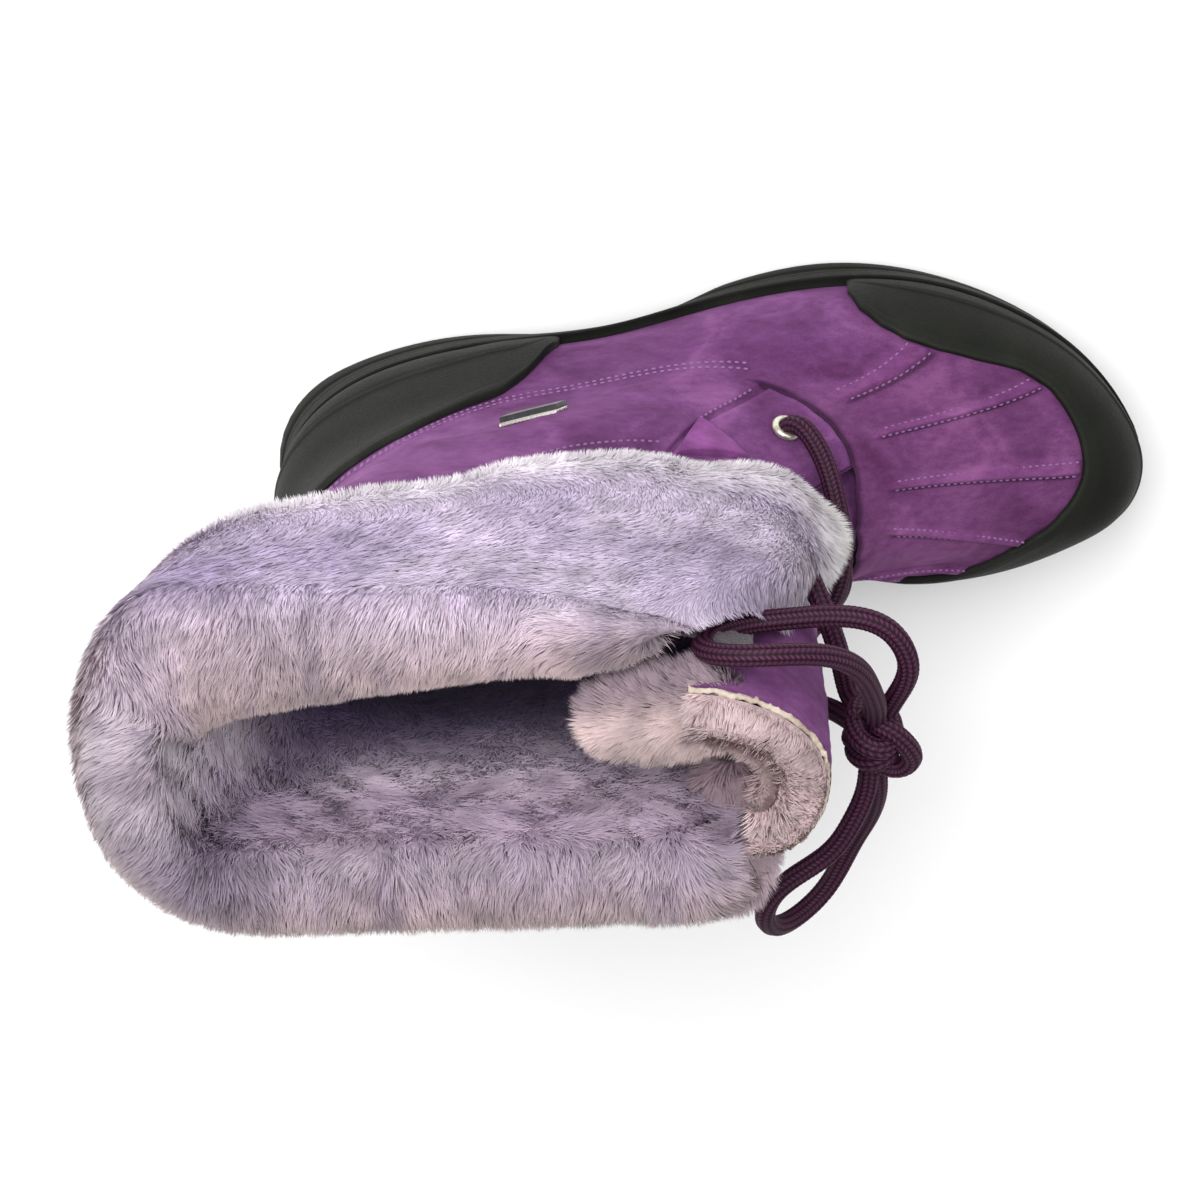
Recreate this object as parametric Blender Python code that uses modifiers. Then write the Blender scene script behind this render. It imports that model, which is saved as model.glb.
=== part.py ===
"""Snow boot for the left foot: suede upper on a rubber sole, with a turned-down
shearling cuff, a fur-lined tongue and a tied lace.

Lengths in the tables are millimetres and angles are degrees. A station runs from the
back of the heel (0) to the tip of the toe, +Y is the outer (lateral) side and +Z is up.
The part's origin is on the floor, under the middle of the heel's tread.

Everything above the sole hangs on one function, upper_point(theta, level, out):
theta goes round the foot (0 heel, 90 outer side, 180 toe, 270 inner side), level goes
from the feather line (0) to the rim of the shaft (1), and out is the distance from the
outer face of the upper.
"""

import bmesh
import bpy
import numpy as np
from math import pi, radians

MM = 0.001

# ---------------------------------------------------------------- driving dimensions
OUTSOLE_LENGTH = 276.0
HEEL_STATION = 52.0         # where the origin lies under the heel
HEEL_CENTRE = -5.0
WALL = 2.0                  # suede and its backing
GAP = 0.35                  # between neighbours that touch
OVERLAY_GAP = 0.6           # under a curved overlay
RUBBER = 1.5                # toe cap and counter
RUBBER_GAP = 1.0            # under them
LOWEST = 0.01               # the level where they start, just above the sole
LEDGE = 3.4                 # how far the sole's shoulder stands out round the upper
TREAD = 4.5                 # depth of the lugs
TOE_SPRING = 13.0
SPRING_START = 195.0
HEEL_BEVEL = 4.0
BEVEL_END = 18.0
ARCH_RISE = 5.0
ARCH_SPAN = (94.0, 146.0)
ARCH_EASE = 20.0
SUNK = 1.6                  # the eyestays lie this far into the upper
EYESTAY = 0.9
SEAM_HEIGHT = 1.3           # raised seams of the vamp
INSOLE = 4.5
TONGUE = 5.0
FUR = 12.0                  # depth of the cuff's pile on each side of the shaft
LACE = 6.0
TUBE_STEP = 2.2             # between a lace's rings, in its diameters
EYELET_RADIUS = 3.4
EYELET_WIRE = 1.1
EYELET_GAP = 0.8

# Outline of the sole, seen from above: y of its outer and inner edge at each angle.
SOLE_COLUMNS = ("theta", "outer", "inner")
SOLE = (
    (0, -5, -5),
    (20, 15.8, -26),
    (40, 29, -37.5),
    (60, 34.5, -40.5),
    (75, 34.5, -37.5),
    (90, 46, -37),
    (105, 53.7, -43),
    (120, 49.7, -46),
    (135, 38.5, -41.5),
    (150, 22.5, -31),
    (165, 4.5, -20.5),
    (180, -8.5, -8.5),
)

# Sections of the last, from the feather line to the rim. x and z are given at the back,
# side and front of each ring, half widths at six angles, skew is how much of the sole's
# own curve the ring follows, and y is the ring's middle at the back and the front.
RING_COLUMNS = ("level", "back_x", "front_x", "back_z", "side_z", "front_z",
                "w30", "w60", "w90", "w120", "w150", "skew", "back_y", "front_y")
RINGS = (
    (0.00, 6.0, 270, 29, 19, 29, 26.5, 36.0, 38, 44.5, 26.5, 1.0, -5, -10.5),
    (0.08, 4.0, 270, 38, 29, 38, 27.5, 37.5, 39, 45.0, 26.5, 1.0, -5, -10.5),
    (0.16, 3.5, 267, 48, 40, 47, 26.5, 37.0, 38, 42.5, 26.0, 1.0, -5, -10.5),
    (0.25, 4.0, 259, 60, 50, 55, 25.0, 36.0, 36, 39.0, 23.5, 0.9, -5, -10),
    (0.34, 6.0, 241, 72, 60, 61, 23.5, 35.0, 34, 33, 21, 0.8, -5, -10),
    (0.43, 7.5, 216, 85, 72, 70, 23.0, 35.0, 34, 30, 19, 0.6, -5, -8),
    (0.52, 8.0, 190, 99, 86, 82, 23.0, 36.0, 36, 30, 18, 0.4, -5, -6),
    (0.61, 7.0, 169, 114, 102, 97, 24.0, 38.0, 39, 31, 19, 0.2, -5, -6),
    (0.70, 3.0, 156, 131, 119, 117, 26.0, 40.0, 41, 34, 21, 0.0, -5, -8),
    (0.79, -4.0, 151, 152, 143, 144, 28.0, 41.0, 42, 37, 24, 0.0, -5, -10),
    (0.88, -15.0, 149, 178, 174, 176, 30.5, 40.5, 40, 37, 26, 0.0, -7, -13),
    (1.00, -31.0, 146, 211, 211, 211, 32.0, 37.0, 36, 35, 27, 0.0, -10, -17),
)

# Lines on the upper. Each is a table of (angle, level) or (level, angle).
ARCH_LINE = ((0, 0.36), (70, 0.36), (95, 0.365), (106, 0.39), (120, 0.4375), (138, 0.495),
             (152, 0.5325), (165, 0.56), (180, 0.575), (195, 0.56), (208, 0.5325),
             (222, 0.495), (240, 0.4375), (254, 0.39), (265, 0.365), (290, 0.36), (360, 0.36))
EYESTAY_BACK = ((0.0, 107), (0.40, 108), (0.54, 112.5), (0.65, 116), (0.80, 118), (1.0, 118))
THROAT_OUTER = ((0.0, 155), (0.53, 152), (0.60, 156), (0.70, 155), (0.80, 150), (0.90, 142),
                (1.0, 132))
THROAT_INNER = ((0.0, 205), (0.53, 208), (0.60, 204), (0.70, 205), (0.80, 207), (0.90, 211),
                (1.0, 216))
TOE_CAP_EDGE = ((108, 0.04), (109, 0.09), (111, 0.16), (115, 0.22), (120, 0.252), (126, 0.262),
                (133, 0.257), (140, 0.238), (147, 0.24), (155, 0.26), (166, 0.285),
                (178, 0.308), (189, 0.327), (200, 0.335), (211, 0.325), (222, 0.295),
                (232, 0.265), (240, 0.25), (246, 0.21), (250, 0.12), (252, 0.04))
COUNTER_EDGE = ((0, 0.54), (28, 0.52), (39, 0.507), (50, 0.462), (58, 0.386), (63.5, 0.33),
                (66, 0.23), (68, 0.11), (70, 0.04))


# ---------------------------------------------------------------- curves and sections
def table(rows, x, column=1):
    """Read a table of (x, ...) rows by straight lines."""
    rows = np.array(rows, float)
    return np.interp(x, rows[:, 0], rows[:, column])


def spline(at, knots, values):
    """Natural cubic spline through (knots, values), held at its ends."""
    knots = np.asarray(knots, float)
    values = np.asarray(values, float)
    count = len(knots)
    step = np.diff(knots)
    system = np.eye(count)
    right = np.zeros(values.shape)
    for i in range(1, count - 1):
        system[i, i - 1:i + 2] = step[i - 1], 2 * (step[i - 1] + step[i]), step[i]
        right[i] = 6 * ((values[i + 1] - values[i]) / step[i]
                        - (values[i] - values[i - 1]) / step[i - 1])
    bend = np.linalg.solve(system, right)
    at = np.clip(np.asarray(at, float), knots[0], knots[-1])
    i = np.clip(np.searchsorted(knots, at, side="right") - 1, 0, count - 2)
    past = at - knots[i]
    left = knots[i + 1] - at
    width = step[i]
    if values.ndim > 1:
        past, left, width = past[:, None], left[:, None], width[:, None]
    return ((bend[i] * left**3 + bend[i + 1] * past**3) / (6 * width)
            + (values[i] / width - bend[i] * width / 6) * left
            + (values[i + 1] / width - bend[i + 1] * width / 6) * past)


def fold(theta):
    """The same angle on the outer side, 0 to 180."""
    return np.where(theta > 180, 360 - theta, theta)


def along(theta):
    """Fraction of a ring's length at an angle."""
    return (1 - np.cos(np.radians(fold(theta)))) / 2


def sole_edge(theta, column):
    rows = np.array(SOLE, float)
    return spline(fold(theta), rows[:, 0], rows[:, SOLE_COLUMNS.index(column)])


def ring_value(name, level):
    rows = np.array(RINGS, float)
    return spline(level, rows[:, 0], rows[:, RING_COLUMNS.index(name)])


def upper_surface(theta, level):
    theta, level = np.broadcast_arrays(np.asarray(theta, float), np.asarray(level, float))
    ring = {name: ring_value(name, level) for name in RING_COLUMNS[1:]}
    f = along(theta)
    half = 0
    knots = (0, 30, 60, 90, 120, 150, 180)
    for k, name in enumerate(("w30", "w60", "w90", "w120", "w150"), start=1):
        half = half + ring[name] * spline(fold(theta), knots, np.eye(7)[k])
    curve = (sole_edge(theta, "outer") + sole_edge(theta, "inner")) / 2 - (-5 - 8 * f)
    side = np.where(theta % 360 <= 180, 1, -1)
    x = ring["back_x"] + (ring["front_x"] - ring["back_x"]) * f
    y = ring["back_y"] + (ring["front_y"] - ring["back_y"]) * f + ring["skew"] * curve
    z = (ring["back_z"] * (1 - f) * (1 - 2 * f) + ring["side_z"] * 4 * f * (1 - f)
         + ring["front_z"] * f * (2 * f - 1))
    return np.stack([x, y + side * half, z], -1)


def upper_point(theta, level, out=0.0):
    """Points of the upper, moved out along its normal."""
    theta, level, out = np.broadcast_arrays(np.asarray(theta, float),
                                            np.asarray(level, float), np.asarray(out, float))
    low = np.clip(level - 0.004, 0, 1)
    high = np.clip(level + 0.004, 0, 1)
    round_the_foot = upper_surface(theta + 0.5, level) - upper_surface(theta - 0.5, level)
    upwards = upper_surface(theta, high) - upper_surface(theta, low)
    normal = np.cross(upwards, round_the_foot)
    normal /= np.linalg.norm(normal, axis=-1, keepdims=True)
    return upper_surface(theta, level) + normal * out[..., None]


def sole_outline(theta, inset):
    """Points of the sole's outline, moved in along its normal in plan."""
    def edge(at):
        at = np.asarray(at, float) % 360
        y = np.where(at <= 180, sole_edge(at, "outer"), sole_edge(at, "inner"))
        return np.stack([OUTSOLE_LENGTH * along(at), y], -1)
    run = edge(theta + 1.0) - edge(theta - 1.0)
    run /= np.linalg.norm(run, axis=-1, keepdims=True)
    inward = np.stack([run[..., 1], -run[..., 0]], -1)
    return edge(theta) + inward * np.asarray(inset, float)[..., None]


def ground(x):
    """Height of the tread's lowest face at a station: flat heel and forefoot."""
    spring = TOE_SPRING * np.clip((x - SPRING_START) / (OUTSOLE_LENGTH - SPRING_START), 0, 1)**2
    bevel = HEEL_BEVEL * np.clip((BEVEL_END - x) / BEVEL_END, 0, 1)**2
    into = np.clip((x - ARCH_SPAN[0]) / ARCH_EASE, 0, 1)
    out_of = np.clip((ARCH_SPAN[1] - x) / ARCH_EASE, 0, 1)
    arch = ARCH_RISE * (into * out_of)**2 * (3 - 2 * into * out_of)
    return spring + bevel + arch


# ---------------------------------------------------------------- making objects
def world(points):
    """Table millimetres to the part's metres."""
    return (np.asarray(points, float) - (HEEL_STATION, HEEL_CENTRE, 0)) * MM


def material(name, colour, roughness, metallic=0.0):
    made = bpy.data.materials.new(name)
    made.use_nodes = True
    shader = made.node_tree.nodes["Principled BSDF"]
    shader.inputs["Base Color"].default_value = (*colour, 1.0)
    shader.inputs["Roughness"].default_value = roughness
    shader.inputs["Metallic"].default_value = metallic
    return made


def add_object(name, mesh, finish):
    obj = bpy.data.objects.new(name, mesh)
    mesh.materials.append(finish)
    PARTS.objects.link(obj)
    mesh.shade_smooth()
    mesh.set_sharp_from_angle(angle=radians(50))
    return obj


def mesh_from(name, grids, weld=0.02):
    """One mesh from grids of points; a grid's faces follow its rows and columns."""
    bm = bmesh.new()
    for points, keep in grids:
        rows, columns = points.shape[:2]
        corners = [[bm.verts.new(p) for p in row] for row in world(points)]
        for i in range(rows - 1):
            for j in range(columns - 1):
                if keep is None or keep[i, j]:
                    quad = (corners[i][j], corners[i][j + 1],
                            corners[i + 1][j + 1], corners[i + 1][j])
                    bm.faces.new(quad)
    bmesh.ops.remove_doubles(bm, verts=bm.verts, dist=weld * MM)
    bmesh.ops.dissolve_degenerate(bm, edges=bm.edges, dist=weld * MM)
    loose = [v for v in bm.verts if not v.link_faces]
    bmesh.ops.delete(bm, geom=loose, context="VERTS")
    bmesh.ops.recalc_face_normals(bm, faces=bm.faces)
    mesh = bpy.data.meshes.new(name)
    bm.to_mesh(mesh)
    bm.free()
    return mesh


def thicken(obj, thickness):
    """Give an open surface its wall: inwards when negative."""
    shell = obj.modifiers.new("wall", "SOLIDIFY")
    shell.thickness = abs(thickness) * MM
    shell.offset = 1.0 if thickness > 0 else -1.0
    shell.use_quality_normals = True
    return obj


def outward(mesh, centre=(110, -10, 60)):
    """Turn an open surface so that its normals leave the foot."""
    middle = world(centre)
    facing = 0
    for face in mesh.polygons:
        facing += np.dot(np.array(face.normal), np.array(face.center) - middle) * face.area
    if facing < 0:
        mesh.flip_normals()
    return mesh


def patch(name, finish, theta, level, out, thickness, keep=None):
    """An overlay: a grid on the upper with a wall."""
    points = upper_point(theta, level, out)
    mesh = outward(mesh_from(name, [(points, keep)]))
    return thicken(add_object(name, mesh, finish), thickness)


def tube(name, route, diameter, finish):
    """A round lace along a smooth curve through the route's points."""
    route = np.array(route, float)
    run = np.concatenate([[0], np.cumsum(np.linalg.norm(np.diff(route, axis=0), axis=1))])
    count = max(6, int(run[-1] / (TUBE_STEP * diameter)) + 1)
    points = world(spline(np.linspace(0, run[-1], count), run, route))
    curve = bpy.data.curves.new(name, "CURVE")
    curve.dimensions = "3D"
    curve.bevel_depth = diameter / 2 * MM
    curve.bevel_resolution = 2
    curve.use_fill_caps = True
    line = curve.splines.new("POLY")
    line.points.add(count - 1)
    for point, place in zip(line.points, points):
        point.co = (*place, 1)
    obj = bpy.data.objects.new(name, curve)
    curve.materials.append(finish)
    PARTS.objects.link(obj)
    return obj


def curve_to_mesh(obj):
    """A closed mesh in the curve's place."""
    bpy.context.view_layer.update()
    mesh = bpy.data.meshes.new_from_object(obj.evaluated_get(
        bpy.context.evaluated_depsgraph_get()))
    bm = bmesh.new()
    bm.from_mesh(mesh)
    bmesh.ops.remove_doubles(bm, verts=bm.verts, dist=0.00001)
    bm.to_mesh(mesh)
    bm.free()
    solid = bpy.data.objects.new(obj.name + "_mesh", mesh)
    solid.matrix_world = obj.matrix_world
    PARTS.objects.link(solid)
    name = obj.name
    bpy.data.objects.remove(obj)
    solid.name = name
    return solid


# ---------------------------------------------------------------- outsole and insole
SOLE_STATIONS = (0, .005, .02, .045, .08, .12, .165, .21, .255, .30, .345, .39, .435, .48, .525,
                 .57, .615, .66, .705, .75, .79, .83, .87, .905, .94, .968, .988, 1)
HALF_ROUND = np.degrees(np.arccos(1 - 2 * np.array(SOLE_STATIONS)))
ALL_ROUND = np.concatenate([HALF_ROUND, 360 - HALF_ROUND[-2::-1]])

# The sole's wall: height as a share of the wall, and how far it lies inside the outline.
SOLE_WALL = (
    (0.00, 2.6),
    (0.08, 0.6),
    (0.24, 0.0),
    (0.44, 0.0),
    (0.49, 1.2),
    (0.56, 1.2),
    (0.61, 0.0),
    (0.88, 0.0),
    (1.00, 1.0),
)
BED_DROP = 0.9              # the ledge and the bed lie this far under the feather line
STRIPS = 6                  # the tread is divided into this many strips across


def feather_height(theta):
    return upper_surface(theta, 0.0)[..., 2]


def spine(ring):
    """The middle of a ring, from heel to toe and back, one point for each column."""
    return (ring + ring[::-1]) / 2


def outsole(finish):
    theta = ALL_ROUND
    shoulder = upper_point(theta, 0.0, LEDGE)[:, :2]
    top = feather_height(theta) - BED_DROP / 2
    wall = []
    for share, inset in SOLE_WALL:
        lean = share**2 * (3 - 2 * share)
        plan = sole_outline(theta, inset) * (1 - lean) + shoulder * lean
        base = ground(OUTSOLE_LENGTH * along(theta)) + TREAD
        wall.append(np.column_stack([plan, base + (top - base) * share]))
    ledge_z = feather_height(theta) - BED_DROP
    ledge = [np.column_stack([upper_point(theta, 0.0, out)[:, :2], ledge_z])
             for out in (LEDGE - 0.9, -WALL - 1.0)]
    bed = np.stack([wall[-1], *ledge, spine(ledge[-1])])

    last = len(HALF_ROUND)
    outer = wall[0][:last]
    inner = wall[0][::-1][:last]
    share = np.linspace(0, 1, STRIPS + 1)[None, :, None]
    tread = outer[:, None] * (1 - share) + inner[:, None] * share
    mesh = mesh_from("outsole", [(np.stack(wall), None), (bed, None), (tread, None)])
    cut_lugs(mesh)
    add_object("outsole", mesh, finish)


def cut_lugs(mesh):
    """Draw blocks of the tread's strips down to the ground, in a brick pattern."""
    bm = bmesh.new()
    bm.from_mesh(mesh)
    stations = np.array(SOLE_STATIONS) * OUTSOLE_LENGTH
    blocks = {}
    for face in bm.faces:
        if face.normal.z > -0.9:
            continue
        middle = face.calc_center_median() / MM
        x = middle.x + HEEL_STATION
        bay = int(np.searchsorted(stations, x)) - 1
        theta = np.degrees(np.arccos(1 - 2 * np.clip(x / OUTSOLE_LENGTH, 0, 1)))
        edge = sole_outline(np.array([theta, 360 - theta]), 2.6)[:, 1] - HEEL_CENTRE
        strip = int(np.clip((edge[0] - middle.y) / (edge[0] - edge[1]), 0, 0.999) * STRIPS)
        if not 3 <= bay < len(stations) - 3:
            continue
        if ARCH_SPAN[0] + 4 < x < ARCH_SPAN[1] - 4:
            continue
        shift = bay % 2
        blocks.setdefault((bay, (strip + shift) // 2), []).append(face)
    for faces in blocks.values():
        bmesh.ops.inset_region(bm, faces=faces, thickness=1.5 * MM, use_even_offset=True)
        for vertex in {v for face in faces for v in face.verts}:
            vertex.co.z = ground(vertex.co.x / MM + HEEL_STATION) * MM
    bm.to_mesh(mesh)
    bm.free()


def insole(finish):
    theta = ALL_ROUND[[0, *range(1, 27, 2), 27, *range(28, 53, 2), 54]]
    rim = upper_point(theta, 0.03, -WALL - 1.8)[:, :2]
    low = np.column_stack([rim, feather_height(theta) - BED_DROP + GAP + 0.1])
    high = low + (0, 0, INSOLE)
    inner = np.column_stack([(rim + spine(low)[:, :2] * 0.25) / 1.25, high[:, 2] - 0.6])
    grid = np.stack([spine(low), low, high, inner, spine(inner)])
    add_object("insole", mesh_from("insole", [(grid, None)]), finish)


# ---------------------------------------------------------------- upper
# Raised seams of the vamp: column they use, angle at level 0.3 and turn per level.
VAMP_SEAMS = (
    (123, 122, 21),
    (141, 141, 0),
    (164, 166, -15),
    (190, 203, -95),
    (219, 219, 0),
    (237, 238, -21),
)
COUNTER_FRONT = 69.3        # the angle where the heel counter ends, low down
SEAM_HALF = 1.3             # half a seam's width, in degrees
SUNK_TOP = 0.79             # row where the upper's wall is back at its full width
PLAIN_BAND = 0.05           # the vamp stays plain this far below the arch


def upper_columns():
    """Column angles as laid out, before they are bent onto the seams and edges."""
    back = [0, 6, 13, 21, 31, 42, 54, COUNTER_FRONT, 78, 90, 101]
    plain = back + [360 - a for a in back[1:]]
    plain += [131, 149, 155, 172, 180, 197, 205, 211, 229]
    step = [111.4, 112.6, 247.4, 248.6]
    seams = [seam[0] + side for seam in VAMP_SEAMS for side in (-SEAM_HALF, 0, SEAM_HALF)]
    return np.array(sorted(plain + step + seams) + [360.0])


UPPER_ROWS = np.array([0, .07, .14, .21, .28, .35, .42, .47, .495, .505, .56, .62, .68, .74, .80,
                       .87, .94, 1.0])


def on_upper(column, row):
    """Angle and level of a column and row of the upper's layout.

    Columns 112 and 248 follow the back of the eyestays, 155 and 205 the throat's edges
    and the seam columns their seams; row 0.5 follows the arch.
    """
    column, row = np.broadcast_arrays(np.asarray(column, float), np.asarray(row, float))
    theta = column.copy()
    for _ in range(3):
        arch = table(ARCH_LINE, theta)
        level = np.where(row < 0.5, arch * row / 0.5, arch + (1 - arch) * (row - 0.5) / 0.5)
        guides = {0: 0 * level, 112: table(EYESTAY_BACK, level),
                  155: table(THROAT_OUTER, level), 205: table(THROAT_INNER, level),
                  248: 360 - table(EYESTAY_BACK, level), 360: 0 * level + 360}
        main = sorted(guides)
        on_vamp = np.clip((0.60 - level) / 0.05, 0, 1) * np.clip((level - 0.08) / 0.15, 0, 1)
        for at, angle, turn in VAMP_SEAMS:
            before = max(base for base in main if base < at)
            after = min(base for base in main if base > at)
            share = (at - before) / (after - before)
            even = guides[before] * (1 - share) + guides[after] * share
            seam = angle + (np.clip(level, 0.25, 0.55) - 0.3) * turn
            guides[at] = seam * on_vamp + even * (1 - on_vamp)
        bases = np.array(sorted(guides))
        lines = np.stack([guides[base] for base in sorted(guides)])
        i = np.clip(np.searchsorted(bases, column, side="right") - 1, 0, len(bases) - 2)
        low = np.take_along_axis(lines, i[None], 0)[0]
        high = np.take_along_axis(lines, i[None] + 1, 0)[0]
        theta = low + (high - low) * (column - bases[i]) / (bases[i + 1] - bases[i])
    return theta, level


def upper_relief(column, row, theta, level):
    """Steps of the upper's wall: sunk under the eyestays, raised along the vamp's seams."""
    outer = (column > 112) & (column <= 155)
    inner = (column >= 205) & (column < 248)
    fade = np.clip((SUNK_TOP - row) / 0.05, 0, 1)
    relief = np.where((outer | inner) & (row > 0.5), -SUNK * fade, 0.0)
    past_cap = np.clip((level - table(TOE_CAP_EDGE, theta) - 0.02) / 0.08, 0, 1)
    on_vamp = level < table(ARCH_LINE, theta) - PLAIN_BAND
    on_seam = np.isin(column, [seam[0] for seam in VAMP_SEAMS])
    return np.where(on_seam & on_vamp, SEAM_HEIGHT * past_cap, relief)


def upper(finish):
    column, row = np.meshgrid(upper_columns(), UPPER_ROWS, indexing="ij")
    theta, level = on_upper(column, row)
    points = upper_point(theta, level, upper_relief(column, row, theta, level))
    throat = (column[:-1, :-1] >= 155) & (column[:-1, :-1] < 205) & (row[:-1, :-1] > 0.5)
    mesh = outward(mesh_from("upper", [(points, ~throat)]))
    thicken(add_object("upper", mesh, finish), -WALL)


# ---------------------------------------------------------------- overlays
def toe_cap(finish):
    columns = [c for c in upper_columns() if 116 < c < 244]
    theta = np.concatenate([[109, 110.5, 113, 117], columns, [244, 247, 249.5, 251]])
    theta = theta[:, None]
    share = np.array([0, 0.25, 0.5, 0.75, 1.0])[None, :]
    level = LOWEST + (table(TOE_CAP_EDGE, theta) - LOWEST) * share
    patch("toe_cap", finish, theta, level, RUBBER_GAP, RUBBER)


def heel_counter(finish):
    half = np.array([0, 6, 13, 21, 31, 42, 54, 63.5, COUNTER_FRONT])
    theta = np.concatenate([-half[:0:-1], half])[:, None]
    share = np.array([0, 0.09, 0.19, 0.29, 0.40, 0.52, 0.66, 0.84, 1.0])[None, :]
    level = LOWEST + (table(COUNTER_EDGE, abs(theta)) - LOWEST) * share
    out = RUBBER_GAP + 0.6 * (abs(theta) > 60)
    patch("heel_counter", finish, theta % 360, level, out, RUBBER)


def eyestay(name, finish, columns):
    """A strip of suede in the upper's sunk field, from the arch to under the cuff."""
    column = np.array(columns, float)[:, None]
    row = np.array([.52, .56, .62, .68, .735])[None, :]
    theta, level = on_upper(column, row)
    patch(name, finish, theta, level, OVERLAY_GAP - SUNK, EYESTAY)


def tab(finish):
    """Loose three-cornered end of the collar's lining, sewn down on the outer side."""
    corners = np.array([(118.5, 0.645), (112.8, 0.545), (133.5, 0.612)])
    share = np.linspace(0, 1, 5)[:, None, None]
    across = np.linspace(0, 1, 5)[None, :, None]
    far = corners[0] * (1 - across) + corners[2] * across
    place = corners[1] * (1 - share) + far * share
    patch("collar_tab", finish, place[..., 0], place[..., 1], OVERLAY_GAP, 1.0)


def badge(finish):
    theta = np.linspace(75.8, 82.8, 5)[:, None]
    level = np.linspace(-0.013, 0.013, 3)[None, :] + 0.533 - (theta - 79.3) * 0.0072
    patch("badge", finish, theta, level, GAP, 0.9)


# ---------------------------------------------------------------- tongue
# The tongue leaves the vamp inside the upper and stands free above it. Each row gives the
# share of its height, its front, middle and height, and how wide and deep its wings reach.
TONGUE_COLUMNS = ("share", "front_x", "middle_y", "z", "half_outer", "half_inner",
                  "back_outer", "back_inner")
TONGUE_ROWS = (
    (0.00, 166, -8, 92, 15.5, 12, 12, 12),
    (0.30, 162, -9, 112, 15.5, 12, 17, 13),
    (0.45, 159.5, -11, 130, 17, 13.5, 22, 13),
    (0.60, 158, -14, 152, 19, 15, 27, 13),
    (0.80, 157, -18, 186, 23, 19, 33, 16),
    (1.00, 154, -21, 221, 25, 25, 37, 20),
)
TONGUE_BASE_LEVEL = 0.47
TONGUE_SPREAD = 42          # how far its base reaches each way, in degrees


def tongue_value(name, share):
    rows = np.array(TONGUE_ROWS, float)
    return spline(share, rows[:, 0], rows[:, TONGUE_COLUMNS.index(name)])


def tongue_point(across, share, out=0.0):
    """Outer face of the tongue: across runs from the inner wing (-1) to the outer (1)."""
    across, share = np.broadcast_arrays(np.asarray(across, float), np.asarray(share, float))
    level = TONGUE_BASE_LEVEL + 0.40 * share
    tuck = np.clip(share / 0.2, 0, 1)
    inside = -(WALL + SUNK + OVERLAY_GAP + 0.4) - 2.5 * tuck * across**2
    based = upper_point(180 - across * (TONGUE_SPREAD - 16 * tuck), level, inside)
    turn = across * pi / 2
    half = np.where(across > 0, tongue_value("half_outer", share),
                    tongue_value("half_inner", share)) + out
    back = np.where(across > 0, tongue_value("back_outer", share),
                    tongue_value("back_inner", share)) + out
    x = tongue_value("front_x", share) + out - back * (1 - np.cos(turn))
    y = tongue_value("middle_y", share) + half * np.sin(turn)
    z = tongue_value("z", share) - 5 * across**2
    free = np.stack([x, y, z], -1)
    leave = np.clip((share - 0.13) / 0.30, 0, 1)[..., None]
    leave = leave**2 * (3 - 2 * leave)
    return based * (1 - leave) + free * leave


def tongue(finish):
    across = np.linspace(-1, 1, 13)[None, :]
    share = np.array([0, .07, .14, .21, .28, .35, .43, .52, .62, .72, .82, .92, 1.0])[:, None]
    mesh = outward(mesh_from("tongue", [(tongue_point(across, share), None)]), (120, -15, 150))
    thicken(add_object("tongue", mesh, finish), -TONGUE)


# ---------------------------------------------------------------- cuff
# Lower edge of the turned-down pile, as a level at each angle.
CUFF_EDGE = ((0, .875), (55, .875), (72, .86), (91, .835), (110, .812), (120, .80),
             (132, .792), (146, .766), (157, .735), (168, .705), (192, .705), (203, .735),
             (214, .766), (228, .792), (240, .80), (250, .812), (269, .835), (305, .875),
             (360, .875))
# Where its front edges end, as an angle at each level: lapels, wider lower down.
LAPEL_OUTER = ((0.70, 171), (0.78, 170), (0.84, 165), (0.88, 160), (0.92, 153), (0.96, 144),
               (1.0, 133))
LAPEL_INNER = ((0.70, 152), (0.84, 151), (0.92, 147), (1.0, 143))
INNER_LEG = 0.79            # level that the pile reaches inside the shaft
INNER_FUR = 9.0
LAPEL_LIFT = 10.0           # the lapels stand off over the laces
RIM_HEIGHT = 0.92           # height of the roll over its radius
LOCK = 2.0                  # how far a lock's tip stands out
TUFT = 0.022                # how far the locks of the lower edge hang down, as a level

# Depth of the pile on the outer leg, from its lower edge (0) to the rim (1).
PILE = ((0.0, 0.35), (0.1, 0.8), (0.25, 1.05), (0.45, 1.12), (0.7, 1.05), (1.0, 1.0))
OUTER_LEG = (0, .1, .22, .34, .46, .58, .70, .82, .93)
RIM_ROLL = (22, 56, 90, 124, 158)
INNER_ROWS = (.8, .54, .27, 0)
CUFF_TURNS = (0, .04, .085, .14, .2, .27, .345, .425, .51, .595, .68, .76, .835, .9, .955, 1)
SKIN_GAP = 1.4


def cuff_angle(turn, level):
    """Angle of a column, from the inner front edge (-1) round the heel to the outer (1)."""
    return np.where(turn >= 0, turn * table(LAPEL_OUTER, level),
                    360 + turn * table(LAPEL_INNER, level))


def cuff_lift(theta):
    """Clearance of the outer leg over the upper, larger where the laces pass below."""
    near = np.clip((fold(theta) - 118) / 30, 0, 1)
    return SKIN_GAP + LAPEL_LIFT * near**2 * (3 - 2 * near)


def locks(row, columns):
    """Pile height of each lock in a row, alternating with a fixed scatter."""
    scatter = np.sin(12.9898 * row + 78.233 * columns) * 43758.5453
    return LOCK * (0.65 * ((row + columns) % 2) + 0.35 * (scatter - np.floor(scatter)))


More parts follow.
